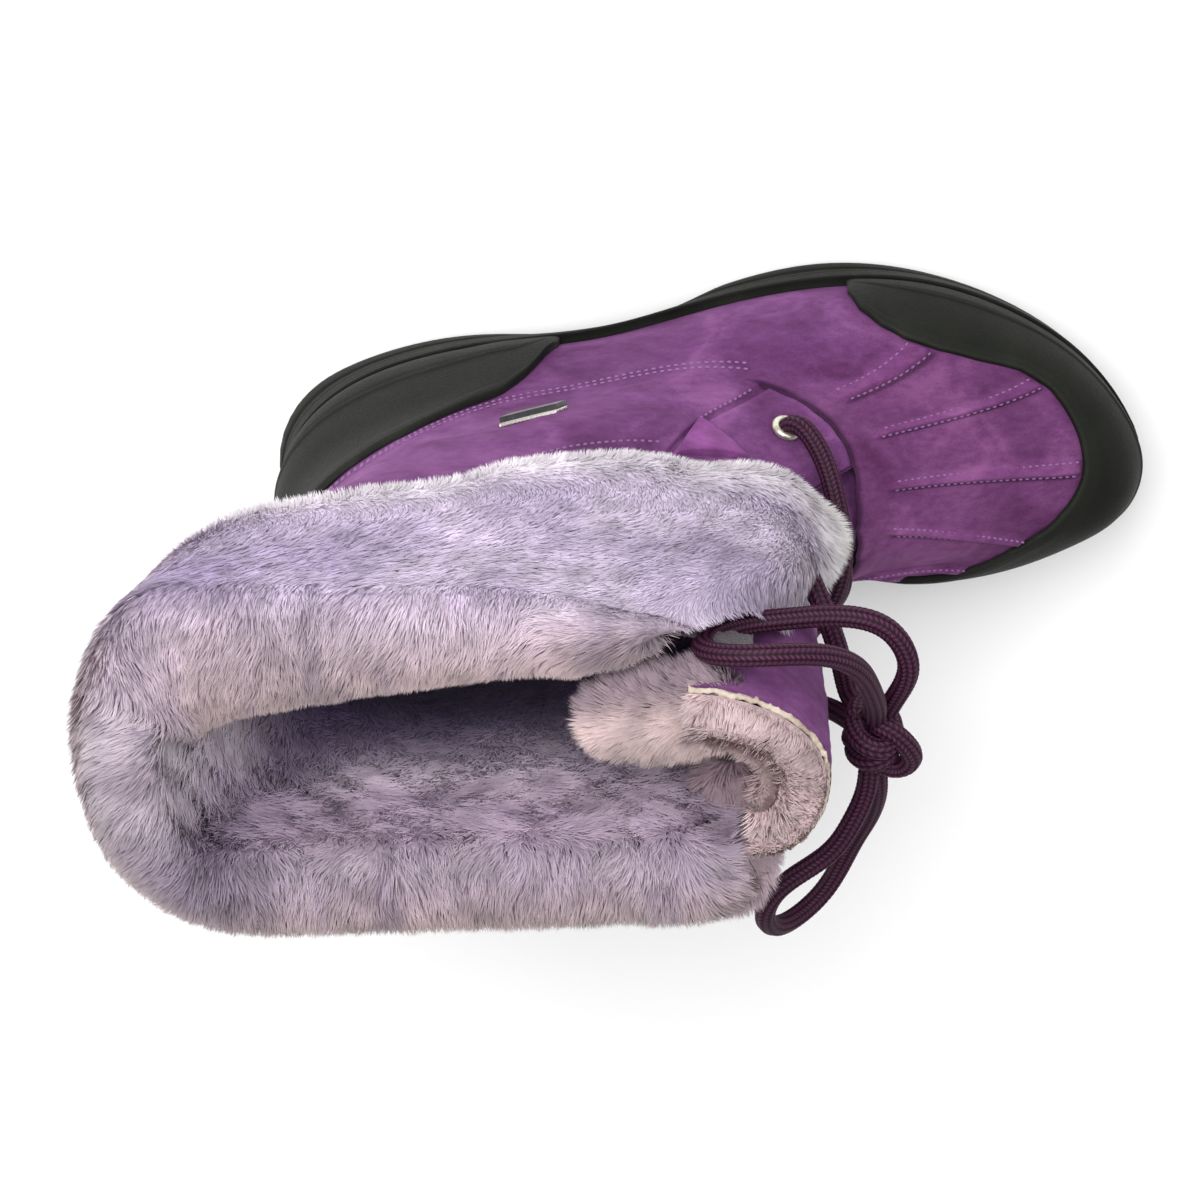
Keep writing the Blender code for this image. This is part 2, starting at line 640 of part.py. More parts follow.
def cuff(finish):
    half = np.array(CUFF_TURNS)
    turn = np.concatenate([-half[:0:-1], half])
    columns = np.arange(len(turn))
    edge_angle = cuff_angle(turn, 0.78)
    thin = 1 - 0.5 * np.clip((abs(turn) - 0.88) / 0.12, 0, 1)
    hang = TUFT * (columns % 2) * (thin > 0.9)
    edge = table(CUFF_EDGE, edge_angle)
    fur_rows = []
    skin_rows = []
    for share in OUTER_LEG:
        level = edge + (1 - edge) * share
        theta = cuff_angle(turn, level)
        lift = cuff_lift(theta)
        depth = (FUR * table(PILE, share) + locks(len(fur_rows), columns)) * thin
        low = hang * (share == 0)
        fur_rows.append(upper_point(theta, level - low, lift + depth))
        skin_rows.append(upper_point(theta, level, lift))
    theta = cuff_angle(turn, 1.0)
    lift = cuff_lift(theta)
    middle = (lift - WALL - SKIN_GAP) / 2
    radius = (lift + WALL + SKIN_GAP) / 2
    for angle in RIM_ROLL:
        c, s = np.cos(radians(angle)), np.sin(radians(angle))
        inwards = (1 - c) / 2
        depth = (FUR * (1 - inwards) + INNER_FUR * inwards + locks(len(fur_rows), columns)) * thin
        for rows, reach in ((fur_rows, radius + depth), (skin_rows, radius)):
            place = upper_point(theta, 1.0, middle + reach * c)
            rise = RIM_HEIGHT * reach * s if rows is fur_rows else reach * s
            rows.append(place + np.outer(rise, (0, 0, 1)))
    for share in INNER_ROWS:
        level = INNER_LEG + (1 - INNER_LEG) * share
        depth = (INNER_FUR + locks(len(fur_rows), columns)) * thin
        fur_rows.append(upper_point(theta, level, -WALL - SKIN_GAP - depth))
        skin_rows.append(upper_point(theta, level, -WALL - SKIN_GAP))
    fur = np.stack(fur_rows)
    skin = np.stack(skin_rows)
    grids = [fur, skin, np.stack([fur[0], skin[0]]), np.stack([fur[-1], skin[-1]]),
             np.stack([fur[:, 0], skin[:, 0]]), np.stack([fur[:, -1], skin[:, -1]])]
    add_object("cuff", mesh_from("cuff", [(grid, None) for grid in grids]), finish)


# ---------------------------------------------------------------- eyelets and laces
EYELETS = {
    "eyelet_outer_low": (129.0, 0.5225),
    "eyelet_outer_high": (145.0, 0.685),
    "eyelet_inner_low": (231.0, 0.5225),
    "eyelet_inner_high": (215.0, 0.685),
}


def frame_at(theta, level, out):
    """Place and axes of a small piece lying on the upper: along, up and outwards."""
    here = upper_point(theta, level, out)
    ahead = upper_surface(theta + 0.5, level) - upper_surface(theta - 0.5, level)
    ahead /= np.linalg.norm(ahead)
    normal = upper_point(theta, level, 1.0) - upper_surface(theta, level)
    normal /= np.linalg.norm(normal)
    return here, ahead, np.cross(normal, ahead), normal


def eyelet(name, finish):
    theta, level = EYELETS[name]
    seat = EYESTAY + OVERLAY_GAP - SUNK + EYELET_GAP + EYELET_WIRE
    here, ahead, upwards, normal = frame_at(theta, level, seat)
    bpy.ops.mesh.primitive_torus_add(major_radius=EYELET_RADIUS * MM,
                                     minor_radius=EYELET_WIRE * MM,
                                     major_segments=10, minor_segments=5)
    ring = bpy.context.object
    mesh = ring.data
    bpy.data.objects.remove(ring)
    turn = np.column_stack([ahead, upwards, normal])
    for vertex in mesh.vertices:
        vertex.co = turn @ np.array(vertex.co) + world(here)
    mesh.name = name
    add_object(name, mesh, finish)


KNOT = (170, -28, 181)
KNOT_SIZE = np.array((8.5, 9.0, 11.5))
KNOT_GAP = 0.8

# Laces between the eyelets: points as (angle, level, distance off the upper).
CROSSINGS = (
    ((129, 0.5225, 6.8), (140, 0.555, 6.2), (153, 0.592, 6.4), (167, 0.625, 7.4),
     (183, 0.650, 8.8), (200, 0.670, 8.0), (215, 0.685, 6.8)),
    ((231, 0.5225, 6.8), (220, 0.555, 6.2), (207, 0.592, 6.4), (193, 0.620, 7.0),
     (178, 0.645, 7.6), (161, 0.668, 7.6), (145, 0.685, 6.8)),
    ((145, 0.685, 6.8), (149, 0.73, 6.0), (154, 0.772, 6.0), (161, 0.808, 6.4),
     (169, 0.826, 7.6), (177, 0.832, 10.5), (185, 0.832, 14.5), (190, 0.830, 17.5)),
    ((215, 0.685, 6.8), (212, 0.72, 6.0), (208, 0.755, 6.4), (203, 0.785, 8.0),
     (199, 0.808, 11.0), (196, 0.825, 14.5)),
)

TO_THE_KNOT = tuple(strand[-1] for strand in CROSSINGS[2:])

LOOP_OUTER = ((175, -13, 190), (177.5, -1.5, 195), (171.5, 9.5, 195.5), (159.5, 13, 194),
              (147, 12.5, 193), (134, 11.5, 193), (124, 12, 200.5), (122, 13, 212.5),
              (130, 15, 221.5), (142.5, 15, 222), (154, 11.5, 216.5), (162, 4.5, 209.5),
              (166.5, -5, 202), (169, -14.5, 194))
LOOP_INNER = ((168.5, -45.5, 179.5), (164.5, -55.5, 180), (159, -64, 180), (151, -70.5, 179.5),
              (143.5, -77.5, 178), (140.5, -86.5, 174.5), (144, -94, 168), (151, -95, 161),
              (159, -89.5, 157), (164, -81, 157), (167.5, -71.5, 160), (170.5, -62.5, 165),
              (172, -54, 170.5), (172, -45, 175.5))


def knot_side(towards):
    """Where a lace ends just clear of the knot, on the side that faces a point."""
    ray = np.subtract(towards, KNOT)
    reach = 1 / np.linalg.norm(ray / KNOT_SIZE)
    return np.add(KNOT, ray * (reach + KNOT_GAP / np.linalg.norm(ray)))


def laces(finish):
    strands = []
    for n, points in enumerate(CROSSINGS):
        route = [upper_point(*point) for point in points]
        if points[-1] in TO_THE_KNOT:
            route.append(knot_side(route[-1]))
        strands.append(curve_to_mesh(tube(f"strand_{n}", route, LACE, finish)))
    crossings = strands[0]
    crossings.name = "lace_crossings"
    for other in strands[1:]:
        join = crossings.modifiers.new("join", "BOOLEAN")
        join.operation = "UNION"
        join.object = other
        PARTS.objects.unlink(other)
        CUTTERS.objects.link(other)
        other.hide_render = True
        other.display_type = "WIRE"

    bpy.ops.mesh.primitive_uv_sphere_add(segments=12, ring_count=8, radius=MM)
    ball = bpy.context.object
    mesh = ball.data
    bpy.data.objects.remove(ball)
    for vertex in mesh.vertices:
        vertex.co = np.array(vertex.co) * KNOT_SIZE + world(KNOT)
    add_object("lace_knot", mesh, finish)
    for name, loop in (("lace_loop_outer", LOOP_OUTER), ("lace_loop_inner", LOOP_INNER)):
        tube(name, (knot_side(loop[0]), *loop, knot_side(loop[-1])), LACE, finish)


# ---------------------------------------------------------------- the boot
for leftover in list(bpy.data.objects):
    bpy.data.objects.remove(leftover)

PARTS = bpy.data.collections.new("snow_boot")
CUTTERS = bpy.data.collections.new("cutters")
bpy.context.scene.collection.children.link(PARTS)
bpy.context.scene.collection.children.link(CUTTERS)

rubber = material("rubber", (0.026, 0.030, 0.025), 0.6)
suede = material("suede", (0.17, 0.045, 0.19), 0.9)
felt = material("felt", (0.30, 0.26, 0.27), 0.95)
fur = material("fur", (0.48, 0.40, 0.52), 0.95)
lace = material("lace", (0.045, 0.012, 0.035), 0.7)
metal = material("metal", (0.75, 0.73, 0.68), 0.3, 1.0)

outsole(rubber)
insole(felt)
upper(suede)
toe_cap(rubber)
heel_counter(rubber)
eyestay("eyestay_outer", suede, (114.5, 121.7, 124.3, 131, 139.7, 142.3, 149, 154))
eyestay("eyestay_inner", suede, (206, 211, 217.7, 220.3, 229, 235.7, 238.3, 245.5))
tongue(suede)
cuff(fur)
tab(suede)
badge(metal)
for eyelet_name in EYELETS:
    eyelet(eyelet_name, metal)
laces(lace)
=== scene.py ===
"""Dressing of a snow boot for the left foot: suede upper, rubber sole, shearling cuff.

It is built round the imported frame, in the order in which the boot is put together. Tables
are in millimetres and degrees: x runs from the back of the heel (0) to the toe, +Y is the
outer side and +Z is up; world() turns them into the frame's metres.
"""

import bpy
import numpy as np
from math import radians
from mathutils import Matrix, Vector

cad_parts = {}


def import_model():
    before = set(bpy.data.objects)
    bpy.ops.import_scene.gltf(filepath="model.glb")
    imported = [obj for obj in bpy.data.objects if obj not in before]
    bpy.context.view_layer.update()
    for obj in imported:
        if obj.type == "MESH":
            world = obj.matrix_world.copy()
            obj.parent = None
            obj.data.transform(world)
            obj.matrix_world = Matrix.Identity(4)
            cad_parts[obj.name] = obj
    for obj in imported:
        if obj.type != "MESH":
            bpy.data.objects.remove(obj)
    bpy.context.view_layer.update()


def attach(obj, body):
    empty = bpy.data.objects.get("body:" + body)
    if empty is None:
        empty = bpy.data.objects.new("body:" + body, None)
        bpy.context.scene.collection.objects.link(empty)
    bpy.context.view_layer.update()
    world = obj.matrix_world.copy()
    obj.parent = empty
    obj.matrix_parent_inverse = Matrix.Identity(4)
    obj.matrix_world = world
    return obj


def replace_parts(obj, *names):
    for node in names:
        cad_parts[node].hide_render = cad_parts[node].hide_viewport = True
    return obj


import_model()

# ================================================================ studio
# A pale matt floor in a dim white room, with a soft box over the boot's outer side and two
# weak fills. The lens is long, so the boot is seen almost without perspective, from above.
TARGET = Vector((0.047, -0.0185, 0.090))
AZIMUTH, ELEVATION, ROLL, DISTANCE = radians(184.5), radians(67), radians(173.5), 0.940
LENS, SENSOR, FAR_CLIP = 93.9, 36, 20
FLOOR_REACH, FLOOR_DROP = 4, 0.0002
ROOM_STRENGTH = 0.55
# Each lamp's name, place, width and power.
LAMPS = (("soft_box", (-0.25, 0.75, 1.35), 0.9, 21.5), ("fill", (0.9, 0.35, 1.1), 0.8, 3.5),
         ("heel_fill", (-1.0, 0.0, 0.75), 0.7, 4.0))


def linear(code):
    """sRGB hex to linear RGBA."""
    parts = np.array([int(code[i:i + 2], 16) for i in (1, 3, 5)]) / 255
    parts = np.where(parts <= 0.04045, parts / 12.92, ((parts + 0.055) / 1.055)**2.4)
    return (*(float(p) for p in parts), 1.0)


def add_node(mat, kind, inputs=None, stops=None, **settings):
    """Add a shader node. inputs gives values or other nodes' outputs, stops a ramp's colours."""
    made = mat.node_tree.nodes.new("ShaderNode" + kind)
    for name, value in settings.items():
        setattr(made, name, value)
    for name, value in (inputs or {}).items():
        if isinstance(value, bpy.types.NodeSocket):
            mat.node_tree.links.new(value, made.inputs[name])
        else:
            made.inputs[name].default_value = value
    if stops:
        ramp = made.color_ramp
        while len(ramp.elements) < len(stops):
            ramp.elements.new(0.5)
        for element, (position, colour) in zip(ramp.elements, stops):
            element.position = position
            element.color = linear(colour) if isinstance(colour, str) else (*[colour] * 3, 1)
    return made


def new_finish(name, **values):
    """A material with its Principled shader's own constants set."""
    made = bpy.data.materials.new(name)
    made.use_nodes = True
    shader = made.node_tree.nodes["Principled BSDF"]
    for socket, value in values.items():
        shader.inputs[socket.replace("_", " ")].default_value = value
    return made, shader


def feed(shader, **outputs):
    """Link nodes' outputs to a shader's sockets, such as Base_Color."""
    for socket, output in outputs.items():
        shader.id_data.links.new(output, shader.inputs[socket.replace("_", " ")])


floor_mesh = bpy.data.meshes.new("floor")
floor_mesh.from_pydata([(x * FLOOR_REACH, y * FLOOR_REACH, -FLOOR_DROP)
                        for x, y in ((-1, -1), (1, -1), (1, 1), (-1, 1))], [], [(0, 1, 2, 3)])
floor = bpy.data.objects.new("floor", floor_mesh)
bpy.context.scene.collection.objects.link(floor)
# Matt white paper: no gloss, and a grain that only breaks up the light.
matt_paper, shader = new_finish("matt_white_paper", Base_Color=linear("#f8f8f8"), Roughness=0.9)
grain = add_node(matt_paper, "TexNoise", {"Scale": 400.0, "Detail": 2.0})
bump = add_node(matt_paper, "Bump", {"Height": grain.outputs["Fac"], "Strength": 0.02,
                                     "Distance": 0.0002})
feed(shader, Normal=bump.outputs["Normal"])
floor_mesh.materials.append(matt_paper)

world_light = bpy.data.worlds.new("room")
world_light.use_nodes = True
background = world_light.node_tree.nodes["Background"]
background.inputs["Color"].default_value = (1, 1, 1, 1)
background.inputs["Strength"].default_value = ROOM_STRENGTH
bpy.context.scene.world = world_light
bpy.context.scene.view_settings.view_transform = "Standard"

for name, place, size, power in LAMPS:
    lamp = bpy.data.lights.new(name, "AREA")
    lamp.size = size
    lamp.energy = power
    light = bpy.data.objects.new(name, lamp)
    light.location = place
    light.rotation_euler = (TARGET - Vector(place)).to_track_quat("-Z", "Y").to_euler()
    bpy.context.scene.collection.objects.link(light)

# The camera's axes: back from the target, and the picture's width and height with its roll.
back = Vector((np.sin(AZIMUTH) * np.cos(ELEVATION), -np.cos(AZIMUTH) * np.cos(ELEVATION),
               np.sin(ELEVATION)))
right = (-back).cross(Vector((0, 0, 1))).normalized()
up = right.cross(-back)
across = right * np.cos(ROLL) + up * np.sin(ROLL)
upright = up * np.cos(ROLL) - right * np.sin(ROLL)
lens = bpy.data.cameras.new("camera")
lens.lens = LENS
lens.sensor_width = SENSOR
lens.clip_end = FAR_CLIP
camera = bpy.data.objects.new("camera", lens)
camera.matrix_world = Matrix.Translation(TARGET + back * DISTANCE) @ Matrix(
    (across, upright, back)).transposed().to_4x4()
bpy.context.scene.collection.objects.link(camera)
bpy.context.scene.camera = camera

# ================================================================ laces, free ends and knot
# Round braided polyester cord, 6 mm thick: ten ribs of plaited yarn over a soft core. Tied
# in a bow, so that each loop leaves the knot and goes back into it.
ORIGIN = (52, -5, 0)
LACE = 6.0
LACE_RIBS = 10
PLAIT = 1.4                     # length of one crossing of the yarns
KNOT = np.array((170.0, -28, 181))
KNOT_SIZE = np.array((8.5, 9.0, 11.5))
KNOT_GAP = 0.8
GROOVE, RIB_HEIGHT, END_TAPER = 0.42, 0.5, 2.0
ROUTE_SAMPLES, PATH_SAMPLES = 400, 60
LOOP_OUTER = ((175, -13, 190), (177.5, -1.5, 195), (171.5, 9.5, 195.5), (159.5, 13, 194),
              (147, 12.5, 193), (134, 11.5, 193), (124, 12, 200.5), (122, 13, 212.5),
              (130, 15, 221.5), (142.5, 15, 222), (154, 11.5, 216.5), (162, 4.5, 209.5),
              (166.5, -5, 202), (169, -14.5, 194))
LOOP_INNER = ((168.5, -45.5, 179.5), (164.5, -55.5, 180), (159, -64, 180), (151, -70.5, 179.5),
              (143.5, -77.5, 178), (140.5, -86.5, 174.5), (144, -94, 168), (151, -95, 161),
              (159, -89.5, 157), (164, -81, 157), (167.5, -71.5, 160), (170.5, -62.5, 165),
              (172, -54, 170.5), (172, -45, 175.5))


def world(points):
    """Table millimetres to the frame's metres."""
    return (np.asarray(points, float) - ORIGIN) * 0.001


def unit(vectors):
    """The same directions at a length of 1."""
    return vectors / np.maximum(np.linalg.norm(vectors, axis=-1, keepdims=True), 1e-9)


def spline(at, knots, values):
    """Natural cubic spline through (knots, values), held at its ends."""
    knots = np.asarray(knots, float)
    values = np.asarray(values, float)
    count = len(knots)
    step = np.diff(knots)
    system = np.eye(count)
    right_side = np.zeros(values.shape)
    for i in range(1, count - 1):
        system[i, i - 1:i + 2] = step[i - 1], 2 * (step[i - 1] + step[i]), step[i]
        right_side[i] = 6 * ((values[i + 1] - values[i]) / step[i]
                             - (values[i] - values[i - 1]) / step[i - 1])
    bend = np.linalg.solve(system, right_side)
    at = np.clip(np.asarray(at, float), knots[0], knots[-1])
    i = np.clip(np.searchsorted(knots, at, side="right") - 1, 0, count - 2)
    past = at - knots[i]
    left = knots[i + 1] - at
    width = step[i]
    if values.ndim > 1:
        past, left, width = past[:, None], left[:, None], width[:, None]
    return ((bend[i] * left**3 + bend[i + 1] * past**3) / (6 * width)
            + (values[i] / width - bend[i] * width / 6) * left
            + (values[i + 1] / width - bend[i + 1] * width / 6) * past)


def run_of(points):
    """Distance along a line of points."""
    return np.concatenate([[0], np.cumsum(np.linalg.norm(np.diff(points, axis=0), axis=1))])


def resample(at, run, line):
    """A line's points, or other values along it, at the distances at."""
    return np.stack([np.interp(at, run, column) for column in line.T], -1)


def grid(points, wrap=False):
    """Vertices and quads over a grid of points; wrap joins its last column to the first."""
    rows, columns = points.shape[:2]
    index = np.arange(rows * columns).reshape(rows, columns)
    if wrap:
        index = np.hstack([index, index[:, :1]])
    quads = np.stack([index[:-1, :-1], index[:-1, 1:], index[1:, 1:], index[1:, :-1]], -1)
    return points.reshape(-1, 3), quads.reshape(-1, 4)


def make(name, parts, finish, tints=None, shading=None, sizes=None):
    """One piece from (vertices, faces) parts in table millimetres, riding on the boot.

    tints is a colour or a tone for each vertex and shading a normal for each; faces are
    quads unless sizes gives each one's corners.
    """
    corners, faces, base = [], [], 0
    for vertices, quads in parts:
        corners.append(vertices)
        faces.append(np.asarray(quads).ravel() + base)
        base += len(vertices)
    corners, faces = world(np.concatenate(corners)), np.concatenate(faces)
    if sizes is None:
        sizes = np.full(len(faces) // 4, 4)
    mesh = bpy.data.meshes.new(name)
    mesh.vertices.add(len(corners))
    mesh.vertices.foreach_set("co", corners.ravel())
    mesh.loops.add(len(faces))
    mesh.loops.foreach_set("vertex_index", faces)
    mesh.polygons.add(len(sizes))
    mesh.polygons.foreach_set("loop_start", np.concatenate([[0], np.cumsum(sizes)[:-1]]))
    mesh.update(calc_edges=True)
    mesh.validate()
    mesh.shade_smooth()
    if tints is not None:
        tints = np.column_stack([np.broadcast_to(tints, (len(tints), 3)), np.ones(len(tints))])
        store = mesh.attributes.new("tint", "FLOAT_COLOR", "POINT")
        store.data.foreach_set("color", tints.ravel())
    if shading is not None:
        mesh.normals_split_custom_set_from_vertices(shading.tolist())
    mesh.materials.append(finish)
    piece = bpy.data.objects.new(name, mesh)
    bpy.context.scene.collection.objects.link(piece)
    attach(piece, "root")
    return piece


def knot_side(towards):
    """Where a lace ends just clear of the knot, on the side that faces a point."""
    ray = np.subtract(towards, KNOT)
    reach = 1 / np.linalg.norm(ray / KNOT_SIZE)
    return np.add(KNOT, ray * (reach + KNOT_GAP / np.linalg.norm(ray)))


def hue(code):
    """sRGB hex to linear RGB, for colours that lie on the mesh."""
    return np.array(linear(code)[:3])


LACE_GROOVE_SHADE, LACE_CROWN_HIGHLIGHT = hue("#0d0308"), hue("#5f3150")
BRAID_STEP = 0.42


def braid(route):
    """Centreline, (vertices, quads) and colours, with painted highlight and shade, of a lace through the
    route's points.
    """
    route = np.asarray(route, float)
    run = run_of(route)
    rough = spline(np.linspace(0, run[-1], ROUTE_SAMPLES), run, route)
    length = run_of(rough)
    s = np.linspace(0, length[-1], int(length[-1] / BRAID_STEP) + 2)
    line = resample(s, length, rough)
    ahead = unit(np.gradient(line, axis=0))
    side = unit(np.cross(ahead[0], (0.2, 0.3, 0.9)))
    sides = []
    for direction in ahead:
        side = unit(side - direction * side.dot(direction))
        sides.append(side)
    sides = np.array(sides)
    other = np.cross(ahead, sides)
    turn = np.linspace(0, 2 * np.pi, 4 * LACE_RIBS, endpoint=False)
    rib = turn * LACE_RIBS / (2 * np.pi)
    part = rib % 1
    crown = np.sqrt(np.clip(1 - (2 * part - 1)**2, 0, 1))
    lean = np.where(rib.astype(int) % 2, 1, -1) * (part - 0.5)
    plait = 0.5 + 0.5 * np.cos(2 * np.pi * (s[:, None] / PLAIT + lean[None, :] * 0.9))
    high = crown[None, :] * (0.72 + 0.28 * plait)
    end = np.sqrt(np.clip(np.minimum(s, s[-1] - s) / END_TAPER, 0.0, 1))[:, None]
    size = (LACE / 2 - GROOVE + RIB_HEIGHT * high) * (0.25 + 0.75 * end)
    ring = (line[:, None] + sides[:, None] * (np.cos(turn) * size)[..., None]
            + other[:, None] * (np.sin(turn) * size)[..., None])
    # Painted light and shade: each yarn's crown is painted pale as a highlight, and the grooves between
    # the yarns are painted dark as shade.
    tone = (0.03 + 0.97 * high**2.8 * (0.20 + 0.80 * plait)).reshape(-1, 1)
    return line, grid(ring, wrap=True), LACE_GROOVE_SHADE * (1 - tone) + LACE_CROWN_HIGHLIGHT * tone


def laced(name, routes):
    """One piece of lace through each route, and the last one's centreline."""
    lines, cords, colours = zip(*(braid(route) for route in routes))
    return make(name, cords, braided_cord, np.concatenate(colours)), lines[-1]


# Braided polyester: a thin line of light is painted on each yarn, and the grooves are painted nearly
# black as shade.
braided_cord, shader = new_finish("braided_polyester_cord", Roughness=0.55,
                                  Specular_IOR_Level=0.15)
tint = add_node(braided_cord, "Attribute", attribute_name="tint")
place = add_node(braided_cord, "TexCoord")
fibre = add_node(braided_cord, "TexNoise", {"Vector": place.outputs["Object"],
                                            "Scale": 2600.0, "Detail": 2.0})
fade = add_node(braided_cord, "TexNoise", {"Vector": place.outputs["Object"], "Scale": 70.0})
shift = add_node(braided_cord, "MapRange", {"Value": fade.outputs["Fac"], "To Min": 0.8,
                                            "To Max": 1.25})
worn = add_node(braided_cord, "Mix", {"Factor": 1.0, 6: tint.outputs["Color"],
                                      7: shift.outputs["Result"]},
                data_type="RGBA", blend_type="MULTIPLY")
rough = add_node(braided_cord, "MapRange", {"Value": fibre.outputs["Fac"], "To Min": 0.42,
                                            "To Max": 0.7})
bump = add_node(braided_cord, "Bump", {"Height": fibre.outputs["Fac"], "Strength": 0.35,
                                       "Distance": 0.0002})
feed(shader, Base_Color=worn.outputs[2], Roughness=rough.outputs["Result"],
     Normal=bump.outputs["Normal"])

# The knot: two coils side by side, a strand through them and one laid over the front.
knot_turns = []
for middle, normal, long_way, sizes in (
        ((0, 3.2, 2.0), (0.25, 0.90, 0.35), (0, -0.35, 0.94), (5.4, 8.2)),
        ((0, -3.2, -1.6), (-0.28, 0.92, 0.27), (0.1, -0.25, 0.96), (5.3, 7.6))):
    normal = unit(np.array(normal))
    tall = unit(np.array(long_way) - normal * np.dot(long_way, normal))
    wide = np.cross(tall, normal)
    turn = np.radians(np.arange(-20, 361, 20))
    knot_turns.append(KNOT + np.array(middle) + np.outer(np.cos(turn) * sizes[0], wide)
                      + np.outer(np.sin(turn) * sizes[1], tall)
                      + np.outer(np.linspace(-1.2, 1.2, len(turn)), normal))
knot_turns.append(KNOT + np.array(((0, 9.5, 8), (0.5, 5, 4.5), (0, 0, 1), (0, -5, -1.5),
                                   (0.5, -10, -3))))
knot_turns.append(KNOT + np.array(((-1, 6.5, 6.5), (4, 4, 8), (8.5, -1, 7), (10, -6.5, 4),
                                   (7, -10, 1.5), (2, -9, 1), (-2, -6, 2))))
knot, _ = laced("lace_knot_turns", knot_turns)
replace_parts(knot, "lace_knot")

for name, loop, with_knot in (("outer", LOOP_OUTER, [knot]), ("inner", LOOP_INNER, [])):
    piece, line = laced(f"lace_{name}_loop",
                        [(knot_side(loop[0]), *loop, knot_side(loop[-1]))])
    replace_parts(piece, f"lace_loop_{name}")

# ================================================================ outsole
# One moulding of black rubber with a raised rib round its wall, a ledge that takes the upper,
# and a tread of bevelled blocks laid like bricks, with a bare arch between heel and forefoot.
OUTSOLE_LENGTH = 276.0
LEDGE = 3.4
TREAD = 4.5
TOE_SPRING, SPRING_START = 13.0, 195.0
HEEL_BEVEL, BEVEL_END = 4.0, 18.0
ARCH_RISE, ARCH_SPAN, ARCH_EASE = 5.0, (94.0, 146.0), 20.0
WALL = 2.0
BED_DROP = 0.9
STRIPS = 6
BLOCK_GAP, BLOCK_INSET, BLOCK_ROUNDING, SIPE = 1.5, 2.6, 0.7, 1.6
SOLE_BACK_Y, SOLE_DRIFT = -5, -8
SOLE_COLUMNS = ("theta", "outer", "inner")
SOLE = ((0, -5, -5), (20, 15.8, -26), (40, 29, -37.5), (60, 34.5, -40.5), (75, 34.5, -37.5),
        (90, 46, -37), (105, 53.7, -43), (120, 49.7, -46), (135, 38.5, -41.5),
        (150, 22.5, -31), (165, 4.5, -20.5), (180, -8.5, -8.5))
SOLE_STATIONS = (0, .005, .02, .045, .08, .12, .165, .21, .255, .30, .345, .39, .435, .48, .525,
                 .57, .615, .66, .705, .75, .79, .83, .87, .905, .94, .968, .988, 1)
# The wall from the tread up: share of its height, and how far it lies inside the outline.
SOLE_WALL = ((0, 2.6), (.04, 1.2), (.08, .6), (.16, .15), (.24, 0), (.42, 0), (.45, .25),
             (.47, .9), (.49, 1.2), (.56, 1.2), (.58, .9), (.60, .2), (.62, 0), (.70, 0),
             (.72, .35), (.74, .35), (.76, 0), (.86, 0), (.93, .25), (.97, .6), (1, 1.0))
# Sections of the last: level, x and z at the back, side and front, half widths at six
# angles, share of the sole's curve, and the middle's y at the back and the front.
RING_COLUMNS = ("level", "back_x", "front_x", "back_z", "side_z", "front_z",
                "w30", "w60", "w90", "w120", "w150", "skew", "back_y", "front_y")
RINGS = (
    (0.00, 6.0, 270, 29, 19, 29, 26.5, 36.0, 38, 44.5, 26.5, 1.0, -5, -10.5),
    (0.08, 4.0, 270, 38, 29, 38, 27.5, 37.5, 39, 45.0, 26.5, 1.0, -5, -10.5),
    (0.16, 3.5, 267, 48, 40, 47, 26.5, 37.0, 38, 42.5, 26.0, 1.0, -5, -10.5),
    (0.25, 4.0, 259, 60, 50, 55, 25.0, 36.0, 36, 39.0, 23.5, 0.9, -5, -10),
    (0.34, 6.0, 241, 72, 60, 61, 23.5, 35.0, 34, 33, 21, 0.8, -5, -10),
    (0.43, 7.5, 216, 85, 72, 70, 23.0, 35.0, 34, 30, 19, 0.6, -5, -8),
    (0.52, 8.0, 190, 99, 86, 82, 23.0, 36.0, 36, 30, 18, 0.4, -5, -6),
    (0.61, 7.0, 169, 114, 102, 97, 24.0, 38.0, 39, 31, 19, 0.2, -5, -6),
    (0.70, 3.0, 156, 131, 119, 117, 26.0, 40.0, 41, 34, 21, 0.0, -5, -8),
    (0.79, -4.0, 151, 152, 143, 144, 28.0, 41.0, 42, 37, 24, 0.0, -5, -10),
    (0.88, -15.0, 149, 178, 174, 176, 30.5, 40.5, 40, 37, 26, 0.0, -7, -13),
    (1.00, -31.0, 146, 211, 211, 211, 32.0, 37.0, 36, 35, 27, 0.0, -10, -17),
)


def table(rows, x, column=1):
    """Read a table of (x, ...) rows by straight lines."""
    rows = np.array(rows, float)
    return np.interp(x, rows[:, 0], rows[:, column])


def fold(theta):
    """The same angle on the outer side, 0 to 180."""
    theta = np.asarray(theta) % 360
    return np.where(theta > 180, 360 - theta, theta)


def along(theta):
    """Fraction of a ring's length at an angle."""
    return (1 - np.cos(np.radians(fold(theta)))) / 2


def sole_edge(theta, column):
    """The sole's outline in y at an angle, on its outer or inner side."""
    rows = np.array(SOLE, float)
    return spline(fold(theta), rows[:, 0], rows[:, SOLE_COLUMNS.index(column)])


def ring_value(name, level):
    """One measure of the last's section at a level."""
    rows = np.array(RINGS, float)
    return spline(level, rows[:, 0], rows[:, RING_COLUMNS.index(name)])


